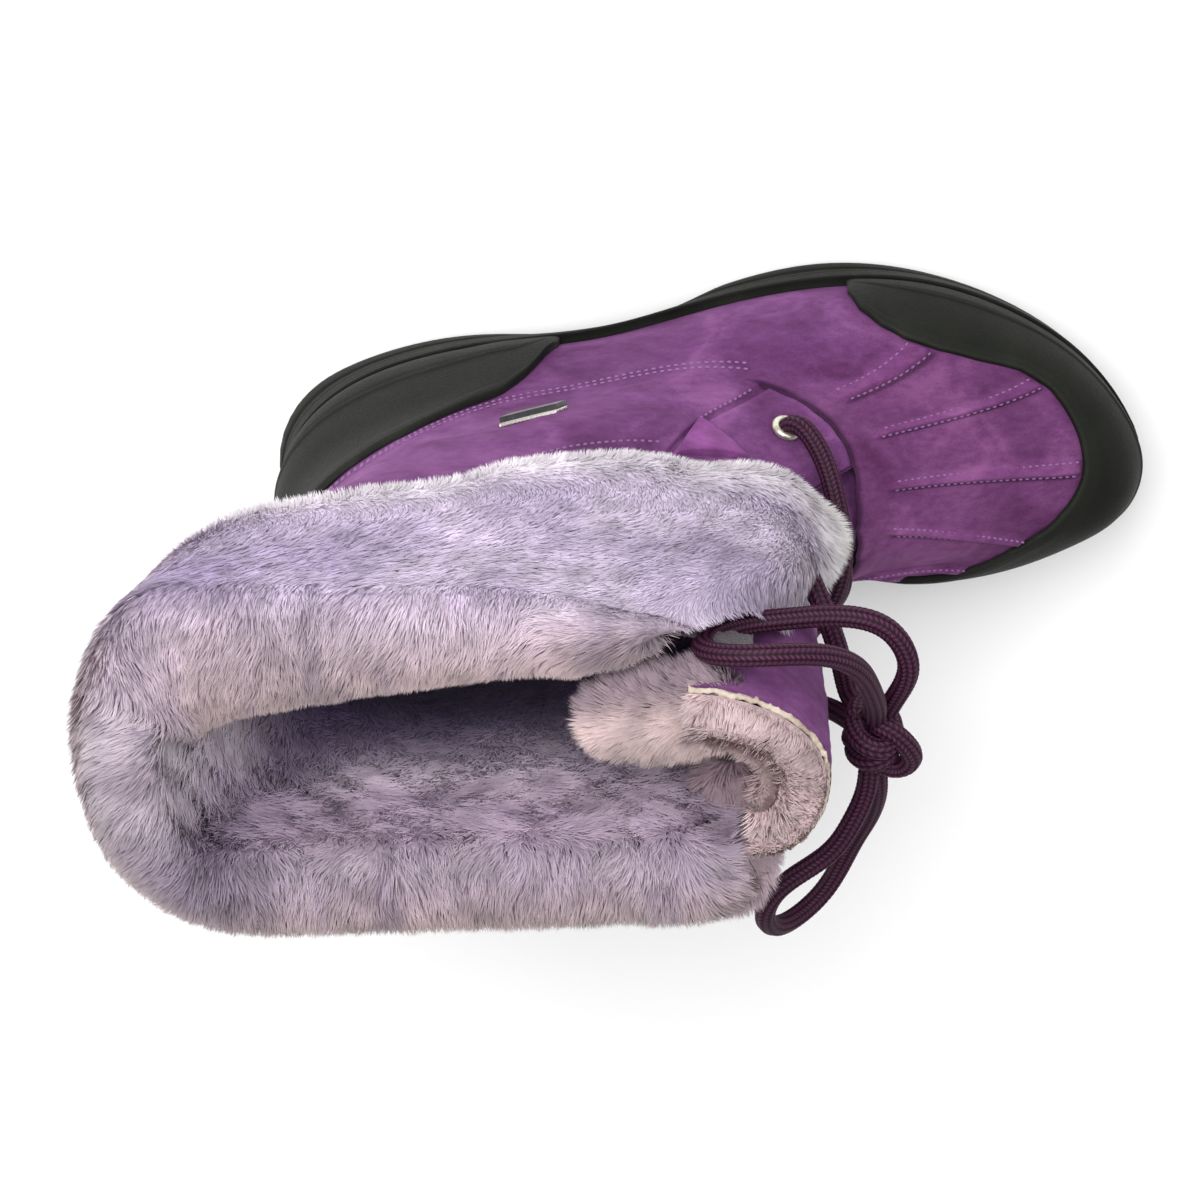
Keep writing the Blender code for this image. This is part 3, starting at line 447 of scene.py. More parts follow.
def upper_surface(theta, level):
    """Points of the last at an angle round the foot (0 heel, 90 outer side) and a level."""
    theta, level = np.broadcast_arrays(np.asarray(theta, float), np.asarray(level, float))
    ring = {name: ring_value(name, level) for name in RING_COLUMNS[1:]}
    f = along(theta)
    half = 0
    for k, name in enumerate(("w30", "w60", "w90", "w120", "w150"), start=1):
        half = half + ring[name] * spline(fold(theta), range(0, 181, 30), np.eye(7)[k])
    curve = ((sole_edge(theta, "outer") + sole_edge(theta, "inner")) / 2
             - (SOLE_BACK_Y + SOLE_DRIFT * f))
    side = np.where(theta % 360 <= 180, 1, -1)
    x = ring["back_x"] + (ring["front_x"] - ring["back_x"]) * f
    y = ring["back_y"] + (ring["front_y"] - ring["back_y"]) * f + ring["skew"] * curve
    z = (ring["back_z"] * (1 - f) * (1 - 2 * f) + ring["side_z"] * 4 * f * (1 - f)
         + ring["front_z"] * f * (2 * f - 1))
    return np.stack([x, y + side * half, z], -1)


def upper_normal(theta, level, turn=0.5, climb=0.004):
    """The last's normal, from points a small turn and climb to each side."""
    low = np.clip(level - climb, 0, 1)
    high = np.clip(level + climb, 0, 1)
    round_the_foot = upper_surface(theta + turn, level) - upper_surface(theta - turn, level)
    return unit(np.cross(upper_surface(theta, high) - upper_surface(theta, low),
                         round_the_foot))


def upper_point(theta, level, out=0.0):
    """Points of the upper's outer face, moved out along its normal."""
    theta, level, out = np.broadcast_arrays(np.asarray(theta, float),
                                            np.asarray(level, float), np.asarray(out, float))
    return upper_surface(theta, level) + upper_normal(theta, level) * out[..., None]


def sole_outline(theta, inset):
    """Points of the sole's outline, moved in along its normal in plan."""
    def edge(at):
        at = np.asarray(at, float) % 360
        y = np.where(at <= 180, sole_edge(at, "outer"), sole_edge(at, "inner"))
        return np.stack([OUTSOLE_LENGTH * along(at), y], -1)
    run = unit(edge(theta + 1.0) - edge(theta - 1.0))
    inward = np.stack([run[..., 1], -run[..., 0]], -1)
    return edge(theta) + inward * np.asarray(inset, float)[..., None]


def ground(x):
    """Height of the tread's lowest face at a station: flat heel and forefoot."""
    spring = TOE_SPRING * np.clip((x - SPRING_START) / (OUTSOLE_LENGTH - SPRING_START), 0, 1)**2
    bevel = HEEL_BEVEL * np.clip((BEVEL_END - x) / BEVEL_END, 0, 1)**2
    into = np.clip((x - ARCH_SPAN[0]) / ARCH_EASE, 0, 1)
    out_of = np.clip((ARCH_SPAN[1] - x) / ARCH_EASE, 0, 1)
    return spring + bevel + ARCH_RISE * (into * out_of)**2 * (3 - 2 * into * out_of)


def feather_height(theta):
    """Height of the upper's lower edge, where it meets the sole."""
    return upper_surface(theta, 0.0)[..., 2]


def shoulder(first, steps):
    """Shares from 0 to 1 that lie close together at both ends, for a rounded edge."""
    return np.concatenate([first, np.linspace(first[-1], 1 - first[-1], steps)[1:-1],
                           1 - np.array(first[::-1])])


# Angles round half of the foot, closer together at the heel and the toe.
half_round = np.degrees(np.arccos(1 - 2 * np.sort(np.unique(np.concatenate(
    [np.linspace(0, 1, 130), (1 - np.cos(np.linspace(0, np.pi, 40))) / 2])))))
theta = np.concatenate([half_round, 360 - half_round[-2:0:-1]])
top = feather_height(theta) - BED_DROP / 2
base = ground(OUTSOLE_LENGTH * along(theta)) + TREAD
rim = upper_point(theta, 0.0, LEDGE)[:, :2]
rows = []
for share, inset in SOLE_WALL:
    lean = share**2 * (3 - 2 * share)
    plan = sole_outline(theta, inset) * (1 - lean) + rim * lean
    rows.append(np.column_stack([plan, base + (top - base) * share]))
for out in (LEDGE - 0.9, 0.6, -WALL - 1.0):
    rows.append(np.column_stack([upper_point(theta, 0.0, out)[:, :2],
                                 feather_height(theta) - BED_DROP]))
wall = np.stack(rows)
middle = wall[-1].copy()
middle[1:] = (wall[-1][1:] + wall[-1][1:][::-1]) / 2
parts = [grid(np.concatenate([wall, middle[None]]), wrap=True)]
# The face between the tread's blocks spans the wall's lowest row from side to side.
toe = len(half_round)
outer = wall[0][:toe]
inner = np.concatenate([wall[0][:1], wall[0][toe - 1:][::-1]])[:toe]
share = np.linspace(0, 1, 13)[None, :, None]
parts.append(grid(outer[:, None] * (1 - share) + inner[:, None] * share))

stations = np.array(SOLE_STATIONS) * OUTSOLE_LENGTH
bevel = np.array([0, .02, .07, .13])
for bay in range(3, len(stations) - 4):
    centre = (stations[bay] + stations[bay + 1]) / 2
    if ARCH_SPAN[0] + 4 < centre < ARCH_SPAN[1] - 4:
        continue
    shift = bay % 2
    for block in range((STRIPS + shift + 1) // 2):
        first, final = max(0, 2 * block - shift), min(STRIPS, 2 * block - shift + 2)
        if final <= first:
            continue
        u = shoulder(bevel, 4)[:, None]
        v = np.concatenate([bevel, [.3, .44, .47, .53, .56, .7], 1 - bevel[::-1]])[None, :]
        x = (stations[bay] + BLOCK_GAP
             + (stations[bay + 1] - stations[bay] - 2 * BLOCK_GAP) * u)
        angle = np.degrees(np.arccos(1 - 2 * x / OUTSOLE_LENGTH))
        outside = sole_outline(angle, BLOCK_INSET)[..., 1]
        inside = sole_outline(360 - angle, BLOCK_INSET)[..., 1]
        near = outside + (inside - outside) * first / STRIPS - BLOCK_GAP
        far = outside + (inside - outside) * final / STRIPS + BLOCK_GAP
        fall = np.minimum(np.minimum(u, 1 - u) * 12, np.minimum(v, 1 - v) * 16)
        rise = np.where(fall < 0.02, TREAD, BLOCK_ROUNDING * np.clip(1 - fall / 1.2, 0, 1)**2)
        sipe = SIPE * ((v > .46) & (v < .54) & (u > .05) & (u < .95))
        z = ground(x) + np.maximum(rise, sipe)
        x, y = np.broadcast_arrays(x, near + (far - near) * v)
        parts.append(grid(np.stack([x, y, z], -1)))

# Moulded black rubber with a satin face: a faint green-grey bloom, paler along its sharp
# edges, and a fine eroded grain from the mould.
rubber, shader = new_finish("moulded_black_rubber", Specular_IOR_Level=0.14, IOR=1.52)
place = add_node(rubber, "TexCoord")
cloud = add_node(rubber, "TexNoise", {"Vector": place.outputs["Object"], "Scale": 38.0,
                                      "Detail": 6.0, "Roughness": 0.6})
grain = add_node(rubber, "TexNoise", {"Vector": place.outputs["Object"], "Scale": 1400.0,
                                      "Detail": 3.0})
pits = add_node(rubber, "TexVoronoi", {"Vector": place.outputs["Object"], "Scale": 900.0})
colour = add_node(rubber, "ValToRGB", {"Fac": cloud.outputs["Fac"]},
                  stops=((0.30, "#0e100c"), (0.55, "#161813"), (0.78, "#20221c")))
edge = add_node(rubber, "NewGeometry")
rubbed = add_node(rubber, "ValToRGB", {"Fac": edge.outputs["Pointiness"]},
                  stops=((0.50, "#000000"), (0.60, "#2b2c28")))
worn = add_node(rubber, "Mix", {"Factor": 0.6, 6: colour.outputs["Color"],
                                7: rubbed.outputs["Color"]}, data_type="RGBA",
                blend_type="ADD")
rough = add_node(rubber, "MapRange", {"Value": grain.outputs["Fac"], "To Min": 0.5,
                                      "To Max": 0.78})
relief = add_node(rubber, "Math", {0: grain.outputs["Fac"], 1: pits.outputs["Distance"]},
                  operation="ADD")
bump = add_node(rubber, "Bump", {"Height": relief.outputs["Value"], "Strength": 0.22,
                                 "Distance": 0.0003})
feed(shader, Base_Color=worn.outputs[2], Roughness=rough.outputs["Result"],
     Normal=bump.outputs["Normal"])
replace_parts(make("outsole_moulding", parts, rubber), "outsole")

# ================================================================ insole and lining
# A sock of grey felt on the bed of the sole, and a fleece lining stuck inside the shaft and
# the foot. Both are seen only in the shade of the opening.
INSOLE, FELT_DIP = 4.5, 0.35
LINING_TURN, LINING_LEVELS, LINING_ROWS = (206, 515, 2.4), (0.02, 0.99), 60
WAVES = 9


def ripple(points, length, seed, octaves=1):
    """Smooth random height, about -1 to 1, that varies over this many millimetres."""
    source = np.random.default_rng(seed)
    total, weight = 0, 0
    for octave in range(octaves):
        size = length / 2**octave
        for _ in range(WAVES):
            direction = source.normal(size=3)
            direction *= 2 * np.pi / size / np.linalg.norm(direction)
            total = total + np.sin(points @ direction + source.uniform(0, 6.28)) / 2**octave
        weight += 1 / 2**octave
    return total / (3.0 * weight)


def follow_grain(mat, shader, grain, hues, relief, rough=None):
    """Colour, relief (strength, depth) and roughness that all follow one grain."""
    colour = add_node(mat, "ValToRGB", {"Fac": grain}, stops=hues)
    bump = add_node(mat, "Bump", {"Height": grain, "Strength": relief[0],
                                  "Distance": relief[1]})
    feed(shader, Base_Color=colour.outputs["Color"], Normal=bump.outputs["Normal"])
    if rough:
        spread = add_node(mat, "MapRange", {"Value": grain, "To Min": rough[0],
                                            "To Max": rough[1]})
        feed(shader, Roughness=spread.outputs["Result"])
    return colour.outputs["Color"]


theta = np.concatenate([half_round[::2], 360 - half_round[-2:0:-2]])
edge_line = upper_point(theta, 0.03, -WALL - 1.8)[:, :2]
low = np.column_stack([edge_line, feather_height(theta) - BED_DROP + 0.45])
axis = low.copy()
axis[1:] = (low[1:] + low[1:][::-1]) / 2
rows = [low, low + (0, 0, INSOLE - 1.0)]
for share in (.03, .08, .16, .28, .42, .58, .75, .9, 1):
    rows.append(low * (1 - share) + axis * share + (0, 0, INSOLE - 0.6 * (share < .05)))
felt_grid = np.stack(rows)
felt_grid[2:, :, 2] += FELT_DIP * ripple(felt_grid[2:], 7, 11, 2)
# Pressed wool felt: dull, with a fuzz of hairs finer than 0.1 mm, drawn at 1.7 mm to show.
felt, shader = new_finish("pressed_wool_felt", Roughness=0.95, Sheen_Weight=0.3)
place = add_node(felt, "TexCoord")
hairs = add_node(felt, "TexNoise", {"Vector": place.outputs["Object"], "Scale": 600.0,
                                    "Detail": 5.0, "Distortion": 1.5})
follow_grain(felt, shader, hairs.outputs["Fac"], ((0.3, "#2c242c"), (0.7, "#51454f")),
             (0.6, 0.0006))
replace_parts(make("insole_sock", [grid(felt_grid, wrap=True)], felt), "insole")

# The lining is open at the throat, and its face is uneven by up to 1 mm.
theta = np.arange(*LINING_TURN)[None, :]
level = np.linspace(*LINING_LEVELS, LINING_ROWS)[:, None]
inside = upper_point(theta, level, -WALL - 0.6)
inside = inside - unit(upper_normal(*np.broadcast_arrays(theta, level))) * (
    0.5 + 0.5 * ripple(inside, 6, 12, 2))[..., None]
make("fleece_lining", [grid(inside)], felt)

# ================================================================ upper
# Cow suede, brushed to a short nap, lasted over the fleece. The vamp carries pintucks that
# fan out from a plain band under the throat, and the shaft is sunk under the eyelet strips.
OVERLAY_GAP = 0.6
SUNK, SUNK_TOP, EYESTAY = 1.6, 0.79, 0.9
SEAM_HEIGHT = 1.3
PLAIN_BAND = 0.03
ARCH_LINE = ((0, 0.36), (70, 0.36), (95, 0.365), (106, 0.39), (120, 0.4375), (138, 0.495),
             (152, 0.5325), (165, 0.56), (180, 0.575), (195, 0.56), (208, 0.5325),
             (222, 0.495), (240, 0.4375), (254, 0.39), (265, 0.365), (290, 0.36), (360, 0.36))
EYESTAY_BACK = ((0.0, 107), (0.40, 108), (0.54, 112.5), (0.65, 116), (0.80, 118), (1.0, 118))
THROAT_OUTER = ((0.0, 155), (0.53, 152), (0.60, 156), (0.70, 155), (0.80, 150), (0.90, 142),
                (1.0, 132))
THROAT_INNER = ((0.0, 205), (0.25, 216), (0.40, 213), (0.53, 208), (0.60, 204), (0.70, 205),
                (0.80, 207), (0.90, 211), (1.0, 216))
TOE_CAP_EDGE = ((108, 0.04), (109, 0.09), (111, 0.16), (115, 0.22), (120, 0.252), (126, 0.262),
                (133, 0.257), (140, 0.238), (147, 0.24), (155, 0.26), (166, 0.285),
                (178, 0.308), (189, 0.327), (200, 0.335), (211, 0.325), (222, 0.295),
                (232, 0.265), (240, 0.25), (246, 0.21), (250, 0.12), (252, 0.04))
COUNTER_EDGE = ((0, 0.54), (28, 0.52), (39, 0.507), (50, 0.462), (58, 0.386), (63.5, 0.33),
                (66, 0.23), (68, 0.11), (70, 0.04))
# Pintucks: the layout column each uses, its angle at level 0.3 and its turn per level.
VAMP_SEAMS = ((123, 123.3, 2), (141, 144, -8), (164, 171.5, -32), (190, 209.5, -108),
              (219, 227, -25), (237, 240, -21))
# Soft creases of the worn leather: two ends as (angle, level), half width and depth.
CREASES = (
    ((96, .40), (104, .47), 4.0, 0.5), ((98, .33), (118, .36), 5.0, 0.45),
    ((86, .46), (97, .55), 4.5, 0.4), ((118, .30), (129, .33), 4.0, 0.35),
    ((150, .34), (158, .45), 4.0, 0.4), ((176, .38), (182, .46), 4.0, 0.4),
    ((130, .36), (134, .44), 3.5, 0.35), ((70, .42), (84, .40), 5.0, 0.35),
    ((262, .42), (250, .48), 5.0, 0.6), ((270, .36), (248, .38), 5.0, 0.5),
    ((285, .46), (300, .55), 6.0, 0.5), ((40, .60), (58, .57), 6.0, 0.5),
    ((320, .60), (300, .62), 6.0, 0.5), ((200, .40), (206, .47), 4.0, 0.4),
    ((226, .33), (234, .42), 4.0, 0.4), ((60, .68), (84, .66), 6.0, 0.4),
)


def on_upper(column, row):
    """Angle and level of the layout's columns and rows.

    Columns 112 and 248 follow the back of the eyelet strips, 155 and 205 the throat, the
    pintucks have their own, and row 0.5 follows the arch.
    """
    column, row = np.broadcast_arrays(np.asarray(column, float), np.asarray(row, float))
    theta = column.copy()
    for _ in range(3):
        arch = table(ARCH_LINE, theta)
        level = np.where(row < 0.5, arch * row / 0.5, arch + (1 - arch) * (row - 0.5) / 0.5)
        guides = {0: 0 * level, 112: table(EYESTAY_BACK, level),
                  155: table(THROAT_OUTER, level), 205: table(THROAT_INNER, level),
                  248: 360 - table(EYESTAY_BACK, level), 360: 0 * level + 360}
        main = sorted(guides)
        on_vamp = np.clip((0.60 - level) / 0.05, 0, 1) * np.clip((level - 0.08) / 0.15, 0, 1)
        for at, angle, turn in VAMP_SEAMS:
            before = max(base for base in main if base < at)
            after = min(base for base in main if base > at)
            share = (at - before) / (after - before)
            even = guides[before] * (1 - share) + guides[after] * share
            seam = angle + (np.clip(level, 0.25, 0.55) - 0.3) * turn
            guides[at] = seam * on_vamp + even * (1 - on_vamp)
        bases = np.array(sorted(guides))
        lines = np.stack([guides[base] for base in sorted(guides)])
        i = np.clip(np.searchsorted(bases, column, side="right") - 1, 0, len(bases) - 2)
        low = np.take_along_axis(lines, i[None], 0)[0]
        high = np.take_along_axis(lines, i[None] + 1, 0)[0]
        theta = low + (high - low) * (column - bases[i]) / (bases[i + 1] - bases[i])
    return theta, level


def smooth(x):
    """An S-curve from 0 to 1 while x goes from 0 to 1."""
    x = np.clip(x, 0, 1)
    return x * x * (3 - 2 * x)


def creases(points):
    """Depth of the soft creases at points of the upper."""
    depth = 0
    for first, second, half, deep in CREASES:
        a = upper_surface(*first)
        b = upper_surface(*second)
        share = np.clip(((points - a) @ (b - a)) / ((b - a) @ (b - a)), 0, 1)
        away = np.linalg.norm(points - a - share[..., None] * (b - a), axis=-1)
        ends = smooth(np.minimum(share, 1 - share) * 5)
        depth = depth + deep * ends * (np.exp(-(away / half)**2)
                                       - 0.55 * np.exp(-((away - 1.7 * half) / half)**2))
    return depth


def vamp_relief(column, row, theta, level):
    """Pintucks and the fold of the plain band, and how much painted shade and painted highlight each
    point gets from them.
    """
    past_cap = smooth((level - table(TOE_CAP_EDGE, theta)) / 0.012)
    arch = table(ARCH_LINE, theta)
    below_band = smooth((arch - PLAIN_BAND - level) / 0.02)
    raised, groove = 0 * level, 0 * level
    for at, _, _ in VAMP_SEAMS:
        away = column - at
        raised = raised + 1.6 * SEAM_HEIGHT / ((1 + np.exp(-(away + 2.3) / 0.55))
                                               * (1 + np.exp((away - 1.5) / 0.20)))
        groove = groove + np.exp(-((away - 2.4) / 0.6)**2) + 0.2 * np.exp(
            -((away + 3.6) / 0.8)**2)
    on_vamp = past_cap * below_band
    front = np.clip((column - 108) / 4, 0, 1) * np.clip((252 - column) / 4, 0, 1)
    seam = np.exp(-((level - arch) / 0.0030)**2) * front
    band = 0.55 * smooth((level - (arch - PLAIN_BAND)) / 0.012) * (
        level < arch) * smooth((level - 0.3) / 0.05) * front
    height = (raised - 0.35 * groove) * on_vamp + band - 0.7 * seam
    shade = np.clip(0.9 * groove * on_vamp + 1.1 * seam, 0, 1)
    light = np.clip(raised / SEAM_HEIGHT / 1.6 * on_vamp, 0, 1)
    return height, shade, light


# The grid is closest where the strips are let in and along the arch's seam.
columns = np.unique(np.concatenate([
    np.arange(0, 108, 1.6), np.arange(108, 111.6, 0.6), np.arange(111.6, 112.6, 0.2),
    np.arange(112.6, 247.4, 0.5), np.arange(247.4, 248.6, 0.2), np.arange(249, 252, 0.6),
    np.arange(252, 360, 1.6), [360]]))
rows = np.unique(np.concatenate([
    np.linspace(0, .40, 44), np.linspace(.40, .485, 14), np.linspace(.487, .513, 14),
    np.linspace(.52, .80, 34), np.linspace(.81, 1, 10)]))
column, row = np.meshgrid(columns, rows, indexing="ij")
theta, level = on_upper(column, row)
height, shade, light = vamp_relief(column, row, theta, level)
# The field that takes the eyelet strips lies lower than the suede round it.
sunk = ((smooth((column - 111.6) / 1.0) * (column <= 155.01)
         + (column >= 204.99) * smooth((248.4 - column) / 1.0))
        * smooth((row - 0.4985) / 0.003) * np.clip((SUNK_TOP - row) / 0.05, 0, 1))
plain = upper_surface(theta, level)
low_part = smooth((0.75 - level) / 0.1)
height = height - SUNK * sunk - creases(plain) * low_part * (row < 0.5)
height = height + 0.22 * ripple(plain, 17, 21, 2) * low_part * smooth(level / 0.05)
points = upper_point(theta, level, height)
open_throat = (column >= 154.9) & (column < 204.9) & (row > 0.5)
vertices, quads = grid(points)
kept = ~open_throat[:-1, :-1].ravel()
# Painted light and shade on the nap: darker in the grooves and along the arch's seam as painted shade,
# paler on the ridges as painted highlight.
tone = 1.0 - 0.62 * shade + 0.22 * light + 0.05 * ripple(plain, 30, 22)
hide_parts = [(vertices, quads[kept])]
# The hide's thickness shows along both sides of the throat.
edge = np.flatnonzero(rows > 0.5)
for throat in (155.1, 205.1):
    side = np.argmin(np.abs(columns - throat))
    run = points[side, edge]
    inward = upper_normal(theta[side, edge], level[side, edge])
    hide_parts.append(grid(np.stack([run, run - inward * 1.0, run - inward * WALL])))
tones = np.concatenate([tone.ravel(), np.full(sum(len(p[0]) for p in hide_parts[1:]), 0.8)])


def suede_finish(name, dark, middle, pale, nap=1.0):
    """Brushed suede: a matt velvet face whose nap lies in lighter and darker patches."""
    made, principled = new_finish(name, Specular_IOR_Level=0.25, Sheen_Weight=0.35,
                                  Sheen_Roughness=0.55, Sheen_Tint=linear(pale))
    at = add_node(made, "TexCoord")
    brushed = add_node(made, "TexNoise", {"Vector": at.outputs["Object"], "Scale": 42.0,
                                          "Detail": 3.0, "Roughness": 0.55,
                                          "Distortion": 0.8})
    stretched = add_node(made, "Mapping", {"Vector": at.outputs["Object"],
                                           "Rotation": (0.2, 0.3, 0.6),
                                           "Scale": (1.0, 2.6, 1.6)})
    streaks = add_node(made, "TexNoise", {"Vector": stretched.outputs["Vector"],
                                          "Scale": 210.0, "Detail": 4.0,
                                          "Roughness": 0.6})
    # Real nap is under 0.3 mm; it is drawn at 0.7 mm so that it shows.
    fibre = add_node(made, "TexNoise", {"Vector": at.outputs["Object"], "Scale": 1400.0,
                                        "Detail": 3.0, "Roughness": 0.7})
    patches = add_node(made, "Math", {0: brushed.outputs["Fac"], 1: 0.62},
                       operation="MULTIPLY")
    blend = add_node(made, "Math", {0: streaks.outputs["Fac"], 1: 0.26, 2:
                                    patches.outputs["Value"]}, operation="MULTIPLY_ADD")
    fleck = add_node(made, "Math", {0: fibre.outputs["Fac"], 1: 0.20 * nap, 2:
                                    blend.outputs["Value"]}, operation="MULTIPLY_ADD")
    colour = add_node(made, "ValToRGB", {"Fac": fleck.outputs["Value"]},
                      stops=((0.38, dark), (0.54, middle), (0.70, pale)))
    tint = add_node(made, "Attribute", attribute_name="tint")
    toned = add_node(made, "Mix", {"Factor": 1.0, 6: colour.outputs["Color"],
                                   7: tint.outputs["Color"]},
                     data_type="RGBA", blend_type="MULTIPLY")
    rough = add_node(made, "MapRange", {"Value": fibre.outputs["Fac"], "To Min": 0.82,
                                        "To Max": 1.0})
    bump = add_node(made, "Bump", {"Height": fleck.outputs["Value"], "Strength": 0.5,
                                   "Distance": 0.0008 * nap})
    feed(principled, Base_Color=toned.outputs[2], Roughness=rough.outputs["Result"],
         Normal=bump.outputs["Normal"])
    return made


# Plum suede: light is lost in the nap, so it is deep in colour and has no shine.
plum_suede = suede_finish("plum_brushed_suede", "#4b204b", "#633666", "#7d4c7e")
# The vamp is rubbed a little redder and browner than the shaft.
worn = np.zeros(len(tones))
worn[:tone.size] = (np.clip((column - 112) / 12, 0, 1) * np.clip((248 - column) / 12, 0, 1)
                    * (row < 0.5)).ravel()
tones = tones[:, None] * (1 - worn[:, None] * np.array((0.05, 0.10, 0.13)))
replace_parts(make("upper_suede", hide_parts, plum_suede, tones), "upper")


# ================================================================ toe cap and heel counter
# Rubber guards, moulded 1.5 mm thick with a thin rib inside their edge, glued over the
# suede and set into the sole's ledge.
RUBBER, RUBBER_GAP, LOWEST = 1.5, 1.0, 0.01
COUNTER_FRONT = 69.3
CAP_TURNS = (109, 251)


def from_ends(count):
    """How many steps each of a row of points lies from the row's nearer end."""
    return np.minimum(np.arange(count), np.arange(count)[::-1])


def overlay(theta, level, top, base, bevel, relief=0.0):
    """A raised patch on the upper with a rounded edge and a skirt down to its base.

    theta and level are grids whose outer rows and columns lie close together.
    """
    rows, columns = theta.shape
    inwards = np.minimum(from_ends(rows)[:, None], from_ends(columns))
    drop = np.array([1.0, 0.42, 0.10, 0.0])[np.minimum(inwards, 3)]
    out = top - bevel * drop + relief
    theta, level, out = (np.pad(part, 1, mode="edge") for part in (theta, level, out))
    out[0], out[-1], out[:, 0], out[:, -1] = base, base, base, base
    return upper_point(theta % 360, level, out)


def guard(name, theta, edge_level, extra, band):
    """A rubber guard from the sole to a line of levels, with a rib at band of its height."""
    share = np.unique(np.concatenate([[0, .006, .015, .03], np.linspace(.05, .95, 34),
                                      [.97, .985, .994, 1],
                                      band + np.array([-.03, -.015, 0, .015, .03, .05])]))
    level = LOWEST + (edge_level[:, None] - LOWEST) * share[None, :]
    angle = np.broadcast_to(theta[:, None], level.shape)
    ends = smooth(from_ends(len(theta)) / 8)[:, None]
    rib = 0.55 * np.exp(-((share[None, :] - band) / 0.016)**2) * ends
    rib = rib - 0.45 * np.exp(-((share[None, :] - band + 0.035) / 0.014)**2) * ends
    rim = 0.25 * np.exp(-((share[None, :] - 0.93) / 0.02)**2) * ends
    top = np.broadcast_to(RUBBER_GAP + RUBBER + extra[:, None], level.shape)
    points = overlay(angle, level, top, RUBBER_GAP - 0.5, 0.8, rib + rim)
    return make(name, [grid(points)], rubber)


theta = CAP_TURNS[0] + (CAP_TURNS[1] - CAP_TURNS[0]) * shoulder([0, .003, .008, .015], 130)
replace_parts(guard("toe_cap_guard", theta, table(TOE_CAP_EDGE, theta), 0 * theta, 0.34),
            "toe_cap")
theta = COUNTER_FRONT * (2 * shoulder([0, .004, .01, .018], 130) - 1)
front = 0.6 * smooth((np.abs(theta) - 54) / 8)
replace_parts(guard("heel_counter_guard", theta, table(COUNTER_EDGE, np.abs(theta)), front, 0.30),
            "heel_counter")

# ================================================================ eyelet strips
# Two strips of the same suede, folded at the edge and sewn into the sunk field of the
# shaft on each side of the throat, to carry the eyelets.
STRIP_COLUMNS = {"eyestay_outer": (113.6, 154.2), "eyestay_inner": (205.8, 246.4)}
for name, (first, final) in STRIP_COLUMNS.items():
    column = (first + (final - first) * shoulder([0, .008, .02, .04], 60))[:, None]
    row = (.5025 + .2395 * shoulder([0, .008, .02, .04], 50))[None, :]
    theta, level = on_upper(column, row)
    puff = 0.25 * ripple(upper_surface(theta, level), 11, 31, 2)
    top = np.full(theta.shape, OVERLAY_GAP - SUNK + EYESTAY + 0.15) + puff
    points = overlay(theta, level, top, 0.1 - SUNK, 0.7)
    tone = 1 + 0.05 * ripple(points, 18, 32)
    # The folded edge catches light, and the sunk field beside it is in shade.
    inwards = np.minimum(from_ends(len(points))[:, None], from_ends(points.shape[1]))
    tone = tone * np.array([0.50, 0.85, 1.06, 1.12, 1.06, 1.0])[np.minimum(inwards, 5)]
    piece = make(f"{name}_strip", [grid(points)], plum_suede, tone.reshape(-1, 1))
    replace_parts(piece, name)

# ================================================================ stitching
# Lilac polyester thread, sewn with a lockstitch of 2.4 mm: double rows beside each pintuck,
# round the heel guard and under the cuff.
STITCH, STITCH_GAP, THREAD, SEWN_IN = 1.35, 0.95, 0.75, 0.12
# Beside each pintuck, in columns, and the height of the row there.
PINTUCK_ROWS = ((-1.5, 1.45), (1.9, 0.55))
# The other rows run along lines of (angle, level).
COUNTER_ROWS = ((5, .585), (28, .565), (42, .55), (50, .515), (56, .46), (61, .405), (66, .362),
                (73, .338), (80, .325), (88, .327), (96, .340), (103, .356))
COLLAR_ROWS = ((76, .80), (81, .768), (85.5, .741), (89, .719), (92.6, .693), (96.6, .670),
               (101.7, .650), (108, .631), (113, .622))
TAB_SEAM = ((112.5, .5425), (110.5, .47), (108.5, .4125))


def sewn_line(points):
    """Evenly spaced angles and levels along a line of (angle, level)."""
    points = np.array(points, float)
    run = run_of(upper_surface(points[:, 0], points[:, 1]))
    at = np.linspace(0, run[-1], max(8, int(run[-1] / 0.6)))
    return np.stack([spline(at, run, points[:, 0]), spline(at, run, points[:, 1])], -1)


def bead_grid():
    """A stitch of unit length lying along x: half a rounded bead."""
    along_it = np.array([-.5, -.36, 0, .36, .5])[:, None]
    fat = np.array([.15, .85, 1, .85, .15])[:, None]
    turn = np.radians([0, 55, 90, 125, 180])[None, :]
    return np.stack(np.broadcast_arrays(along_it, np.cos(turn) * fat, np.sin(turn) * fat), -1)


def stitches(line, out, aside=0.0):
    """Beads of thread along a line on the upper, moved sideways by a distance."""
    surface = upper_surface(line[:, 0], line[:, 1])
    normal = upper_normal(line[:, 0], line[:, 1])
    ahead = unit(np.gradient(surface, axis=0))
    side = np.cross(normal, ahead)
    path = surface + side * aside + normal * np.asarray(out, float).reshape(-1, 1)
    run = run_of(path)
    count = int(run[-1] / (STITCH + STITCH_GAP))
    at = (np.arange(count) + 0.5) * (STITCH + STITCH_GAP)
    middle = resample(at, run, path)[:, None, None]
    along_it, across_it, up_it = (unit(resample(at, run, part))[:, None, None]
                                  for part in (ahead, side, normal))
    bead = bead_grid()
    shapes = (middle + bead[None, ..., 0:1] * STITCH * along_it
              + bead[None, ..., 1:2] * THREAD / 2 * across_it
              + bead[None, ..., 2:3] * THREAD * 0.62 * up_it)
    return [grid(shape) for shape in shapes]


